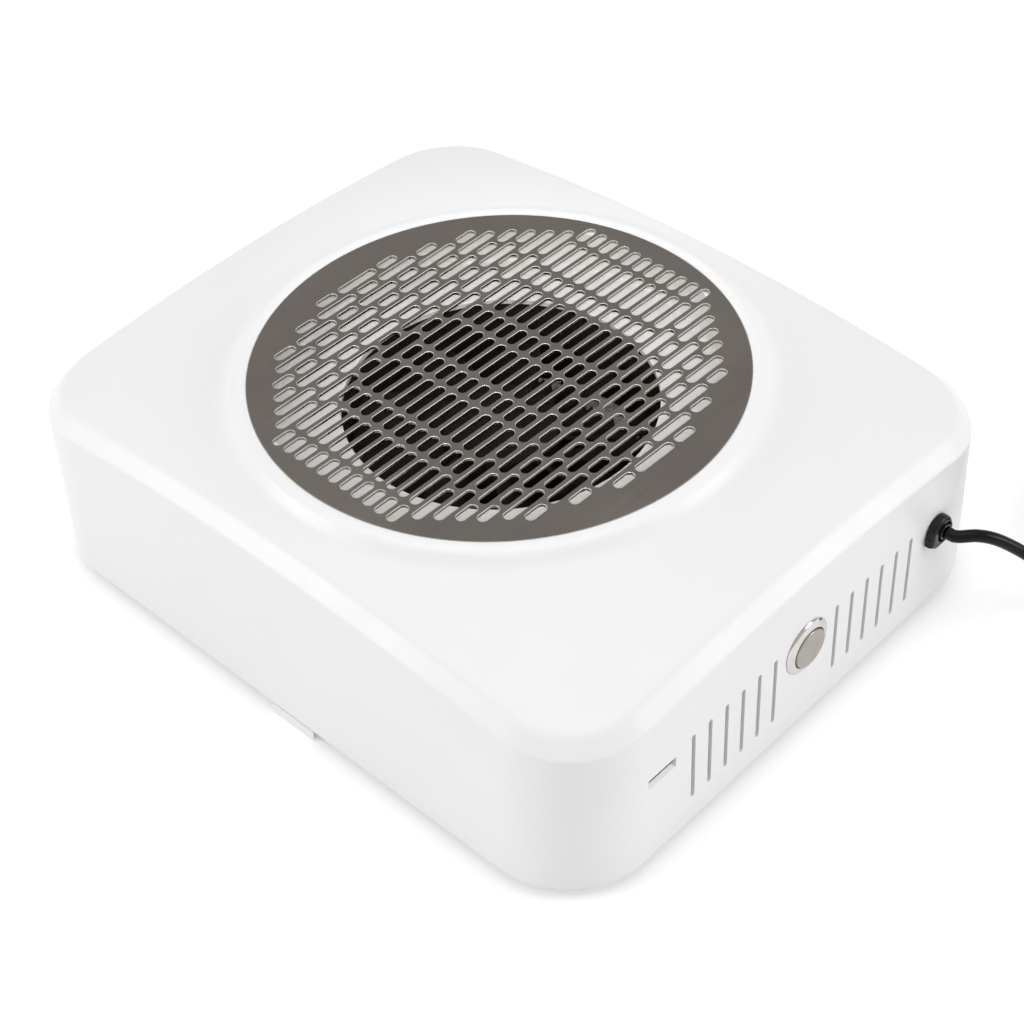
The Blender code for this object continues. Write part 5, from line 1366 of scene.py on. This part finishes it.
class DUST_OT_base(bpy.types.Operator):
    """Makes the base plate, its screws and the rubber feet"""

    bl_idname = "dust_collector.base"
    bl_label = "Base"

    def execute(self, context):
        settings = context.scene.dust_base
        plate = refined("base_plate", "base_tray", settings.edge)
        dress(plate, "housing", the_white(), "white_plastic", "base_plate")
        self.make_screws("base")
        self.make_screws("fan")
        rubber = black_plastic("foot_rubber", (0.022, 0.022, 0.022), 0.65, 0.82, 600.0, 0.2)
        pad_top = 0.0055
        neck_top = 0.0086
        for index in range(1, 5):
            node = f"foot_{index}"
            low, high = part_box(node)
            radius = (high.x - low.x) / 2
            profile = rounded_profile(
                (
                    (0.003, 0.0005), (0.005, 0.0005, 0.0002), (0.0056, 0.0, 0.0002), (radius, 0.0, 0.001),
                    (radius, pad_top, 0.0006), (0.003, pad_top), (0.003, neck_top),
                    (0.0042, neck_top, 0.0002), (0.003, high.z, 0.0002),
                ),
                3,
            )
            foot = turned(f"rubber_{node}", profile, 48, centre=box_centre(low, high), ends="fill")
            dress(foot, "housing", rubber, "foot_rubber", node)
        return {"FINISHED"}

    def make_screws(self, group):
        """A pan-head screw with a cross recess, copied to each place."""
        low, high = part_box(f"{group}_screw_1")
        head_top = 0.002
        length = high.z - low.z
        profile = rounded_profile(
            (
                (0.0004, 0.0), (0.0026, 0.0, 0.0008), (0.0032, 0.0013, 0.0003), (0.0032, head_top, 0.0001),
                (0.0015, head_top), (0.0015, length - 0.0008), (0.0004, length),
            )
        )
        screw = turned("screw", profile, 40, ends="fill")
        bars = [
            block("bar", (-0.0019, -0.00035, -0.001), (0.0019, 0.00035, 0.0008)),
            block("bar", (-0.00035, -0.0019, -0.001), (0.00035, 0.0019, 0.0008)),
        ]
        cut(screw, cut(bars[0], bars[1], "UNION"))
        smoothed(screw, 35.0)
        screw_metal = metal("screw_metal", (0.55, 0.54, 0.52), 0.24, 0.38)
        for index in range(1, 5):
            node = f"{group}_screw_{index}"
            low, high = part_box(node)
            place = Vector((*box_centre(low, high), low.z))
            copy = copied(screw, f"{group}_cross_screw_{index}", Matrix.Translation(place))
            dress(copy, "housing", screw_metal, "brushed_metal", node)
        bpy.data.objects.remove(screw, do_unlink=True)


class DUST_OT_hatch(bpy.types.Operator):
    """Makes the hatch with its finger tab, and the filter on it"""

    bl_idname = "dust_collector.hatch"
    bl_label = "Hatch and filter"

    def execute(self, context):
        settings = context.scene.dust_base
        for node, name in (("dust_hatch", "hatch_door"), ("filter_frame", "filter_rim")):
            dress(refined(node, name, settings.edge), "hatch", the_white(), "white_plastic", node)
        self.make_pleats(settings)
        return {"FINISHED"}

    def make_pleats(self, settings):
        """Folded paper: its zigzag section, drawn out across the tray."""
        low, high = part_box("filter_pleats")
        thick = 0.0006
        per_fold = 4
        steps = settings.pleats * 2 * per_fold
        upper = []
        lower = []
        for step in range(steps + 1):
            x = low.x + thick + (high.x - low.x - 2 * thick) * (step / steps)
            swing = math.cos(math.pi * abs((step / per_fold % 2) - 1))
            swing = 0.5 - 0.5 * swing * (0.72 + 0.28 * abs(swing))
            middle = low.z + thick + (high.z - low.z - 2 * thick) * swing
            upper.append((x, middle + thick * 0.9))
            lower.append((x, middle - thick * 0.9))
        paper = drawn("pleated_paper", upper + lower[::-1], "Y", low.y, high.y, 60.0)
        # The paper's near-black colour is painted shade.
        dress(paper, "hatch", filter_paper(settings.paper_shade_colour), "filter_paper", "filter_pleats")


class DUST_OT_inner(bpy.types.Operator):
    """Gives the pieces inside the housing their finishes"""

    bl_idname = "dust_collector.inner"
    bl_label = "Inner pieces"

    def execute(self, context):
        steel = metal("turned_steel", (0.55, 0.54, 0.52), 0.22, 0.34)
        brass = metal("contact_brass", (0.62, 0.47, 0.2), 0.24, 0.36)
        copper = metal("winding_copper", (0.5, 0.24, 0.12), 0.3, 0.46, 1800.0, strength=0.3)
        lead = the_cord_black()
        finishes = {
            "button_spring": steel, "fan_bearing_lower": brass, "fan_bearing_upper": brass,
            "fan_shaft": steel, "fan_stator": copper, "hinge_pin": steel, "lead_fan": lead,
            "lead_supply": lead, "switch_base": the_black(), "switch_terminal_left": brass,
            "switch_terminal_right": brass,
        }
        for node, material in finishes.items():
            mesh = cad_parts[node].data
            mesh.materials.clear()
            mesh.materials.append(material)
        return {"FINISHED"}


# Stage: floor, light and camera

class DUST_OT_stage(bpy.types.Operator):
    """Sets the pale floor, the soft light and the camera"""

    bl_idname = "dust_collector.stage"
    bl_label = "Stage"

    def execute(self, context):
        settings = context.scene.dust_stage
        self.set_camera(context, settings)
        self.set_floor()
        self.set_world(context, settings)
        self.add_lamp("top_lamp", (0.0, 0.0, 2.2), (0.0, 0.0, 0.0), 2.4, settings.top)
        self.add_lamp("left_lamp", (-1.5, -2.0, 1.2), (0.0, 0.0, 0.0), 1.4, settings.left)
        self.add_lamp("right_lamp", (2.1, 1.5, 1.1), (0.0, 0.0, 0.0), 1.4, settings.right)
        aim = (-0.002, 0.007, GRILLE_HIGH.z)
        self.add_narrow_lamp("dish_lamp", (0.446, -0.434, 0.62), aim, 0.087, settings.inner)
        return {"FINISHED"}

    def set_camera(self, context, settings):
        data = bpy.data.cameras.new("camera")
        data.lens = settings.lens
        data.sensor_width = 36.0
        data.sensor_fit = "HORIZONTAL"
        data.clip_start = 0.05
        data.clip_end = 50.0
        camera = bpy.data.objects.new("camera", data)
        context.scene.collection.objects.link(camera)
        right = Vector((0.72889374, 0.68328406, -0.04285806))
        up = Vector((-0.45041296, 0.52574052, 0.72161283))
        back = Vector((0.51559876, -0.50667525, 0.69096897))
        turn = Matrix((right, up, back)).transposed().to_4x4()
        place = Matrix.Translation((0.444, -0.4338, 0.6113))
        camera.matrix_world = place @ turn
        context.scene.camera = camera

    def set_floor(self):
        clear_selection()
        bpy.ops.mesh.primitive_plane_add(size=9.0)
        floor = named("floor")
        material, tree, shader = new_material("floor_white")
        add_tint(tree, shader, add_noise(tree, 3.0, 2.0), (1.0, 1.0, 1.0), 0.84, 0.86)
        shader.inputs["Roughness"].default_value = 0.7
        shader.inputs["Specular IOR Level"].default_value = 0.0
        seen = any_ray(tree, ("Is Camera Ray", "Is Glossy Ray", "Is Transmission Ray"))
        coordinates = tree.nodes.new("ShaderNodeTexCoord")
        reach = tree.nodes.new("ShaderNodeVectorMath")
        reach.operation = "LENGTH"
        tree.links.new(coordinates.outputs["Object"], reach.inputs[0])
        lift = add_math(tree, "MULTIPLY", seen, add_range(tree, reach.outputs["Value"], 0.3, 0.75, 0.7, 2.2))
        shader.inputs["Emission Color"].default_value = (1.0, 1.0, 1.0, 1.0)
        tree.links.new(lift, shader.inputs["Emission Strength"])
        floor.data.materials.append(material)

    def set_world(self, context, settings):
        world = bpy.data.worlds.new("studio")
        world.use_nodes = True
        context.scene.world = world
        tree = world.node_tree
        background = tree.nodes["Background"]
        background.inputs["Color"].default_value = (1.0, 1.0, 1.0, 1.0)
        seen = any_ray(tree, ("Is Camera Ray", "Is Transmission Ray"))
        strength = add_range(tree, seen, settings.world, 1.0, 0.0, 1.0)
        tree.links.new(strength, background.inputs["Strength"])
        context.scene.view_settings.view_transform = "Standard"

    def add_lamp(self, name, place, aim, size, power):
        data = bpy.data.lights.new(name, "AREA")
        data.shape = "DISK"
        data.size = size
        data.energy = power
        self.put_lamp(name, data, place, aim)

    def add_narrow_lamp(self, name, place, aim, reach, power):
        """A lamp whose light falls on a small round level place only."""
        away = Vector(aim) - Vector(place)
        data = bpy.data.lights.new(name, "SPOT")
        data.spot_size = 2 * math.atan(reach / away.length)
        data.spot_blend = 0.15
        data.shadow_soft_size = 0.03
        data.energy = power
        lamp = self.put_lamp(name, data, place, aim)
        lamp.scale = (1.0, -away.normalized().z, 1.0)

    def put_lamp(self, name, data, place, aim):
        lamp = bpy.data.objects.new(name, data)
        bpy.context.scene.collection.objects.link(lamp)
        lamp.location = place
        lamp.rotation_euler = (Vector(aim) - Vector(place)).to_track_quat("-Z", "Y").to_euler()
        return lamp


def add_math(tree, operation, *sources):
    """A maths node with these sources."""
    node = tree.nodes.new("ShaderNodeMath")
    node.operation = operation
    for source, socket in zip(sources, node.inputs):
        tree.links.new(source, socket)
    return node.outputs[0]


def any_ray(tree, kinds):
    """One where any of these kinds of ray looks at the surface, and else nought."""
    path = tree.nodes.new("ShaderNodeLightPath")
    result = path.outputs[kinds[0]]
    for kind in kinds[1:]:
        result = add_math(tree, "MAXIMUM", result, path.outputs[kind])
    return result


class DUST_PT_panel(bpy.types.Panel):
    """Lists the pieces of the dust collector with their sizes and colours"""

    bl_idname = "DUST_PT_panel"
    bl_label = "Dust Collector"
    bl_space_type = "VIEW_3D"
    bl_region_type = "UI"
    bl_category = "Dust Collector"

    def draw(self, context):
        layout = self.layout
        for name, group, operators in GROUPS:
            box = layout.box()
            for operator in operators:
                box.operator(operator.bl_idname)
            for setting in group.__annotations__:
                box.prop(getattr(context.scene, name), setting)


GROUPS = (
    ("dust_stage", StageSettings, (DUST_OT_stage,)),
    ("dust_cord", CordSettings, (DUST_OT_cord,)),
    ("dust_housing", HousingSettings, (DUST_OT_housing,)),
    ("dust_fan", FanSettings, (DUST_OT_dish, DUST_OT_fan, DUST_OT_inner)),
    ("dust_grille", GrilleSettings, (DUST_OT_grille,)),
    ("dust_button", ButtonSettings, (DUST_OT_button,)),
    ("dust_base", BaseSettings, (DUST_OT_base, DUST_OT_hatch)),
)


def register():
    for name, group, operators in GROUPS:
        for kind in (group, *operators):
            bpy.utils.register_class(kind)
        setattr(bpy.types.Scene, name, PointerProperty(type=group))
    bpy.utils.register_class(DUST_PT_panel)


def unregister():
    bpy.utils.unregister_class(DUST_PT_panel)
    for name, group, operators in reversed(GROUPS):
        delattr(bpy.types.Scene, name)
        for kind in (*reversed(operators), group):
            bpy.utils.unregister_class(kind)


def main():
    register()
    bpy.ops.dust_collector.stage()
    bpy.ops.dust_collector.cord()
    bpy.ops.dust_collector.housing()
    bpy.ops.dust_collector.dish()
    bpy.ops.dust_collector.fan()
    bpy.ops.dust_collector.inner()
    bpy.ops.dust_collector.grille()
    bpy.ops.dust_collector.button()
    bpy.ops.dust_collector.base()
    bpy.ops.dust_collector.hatch()
    clear_selection()


if __name__ == "__main__":
    main()
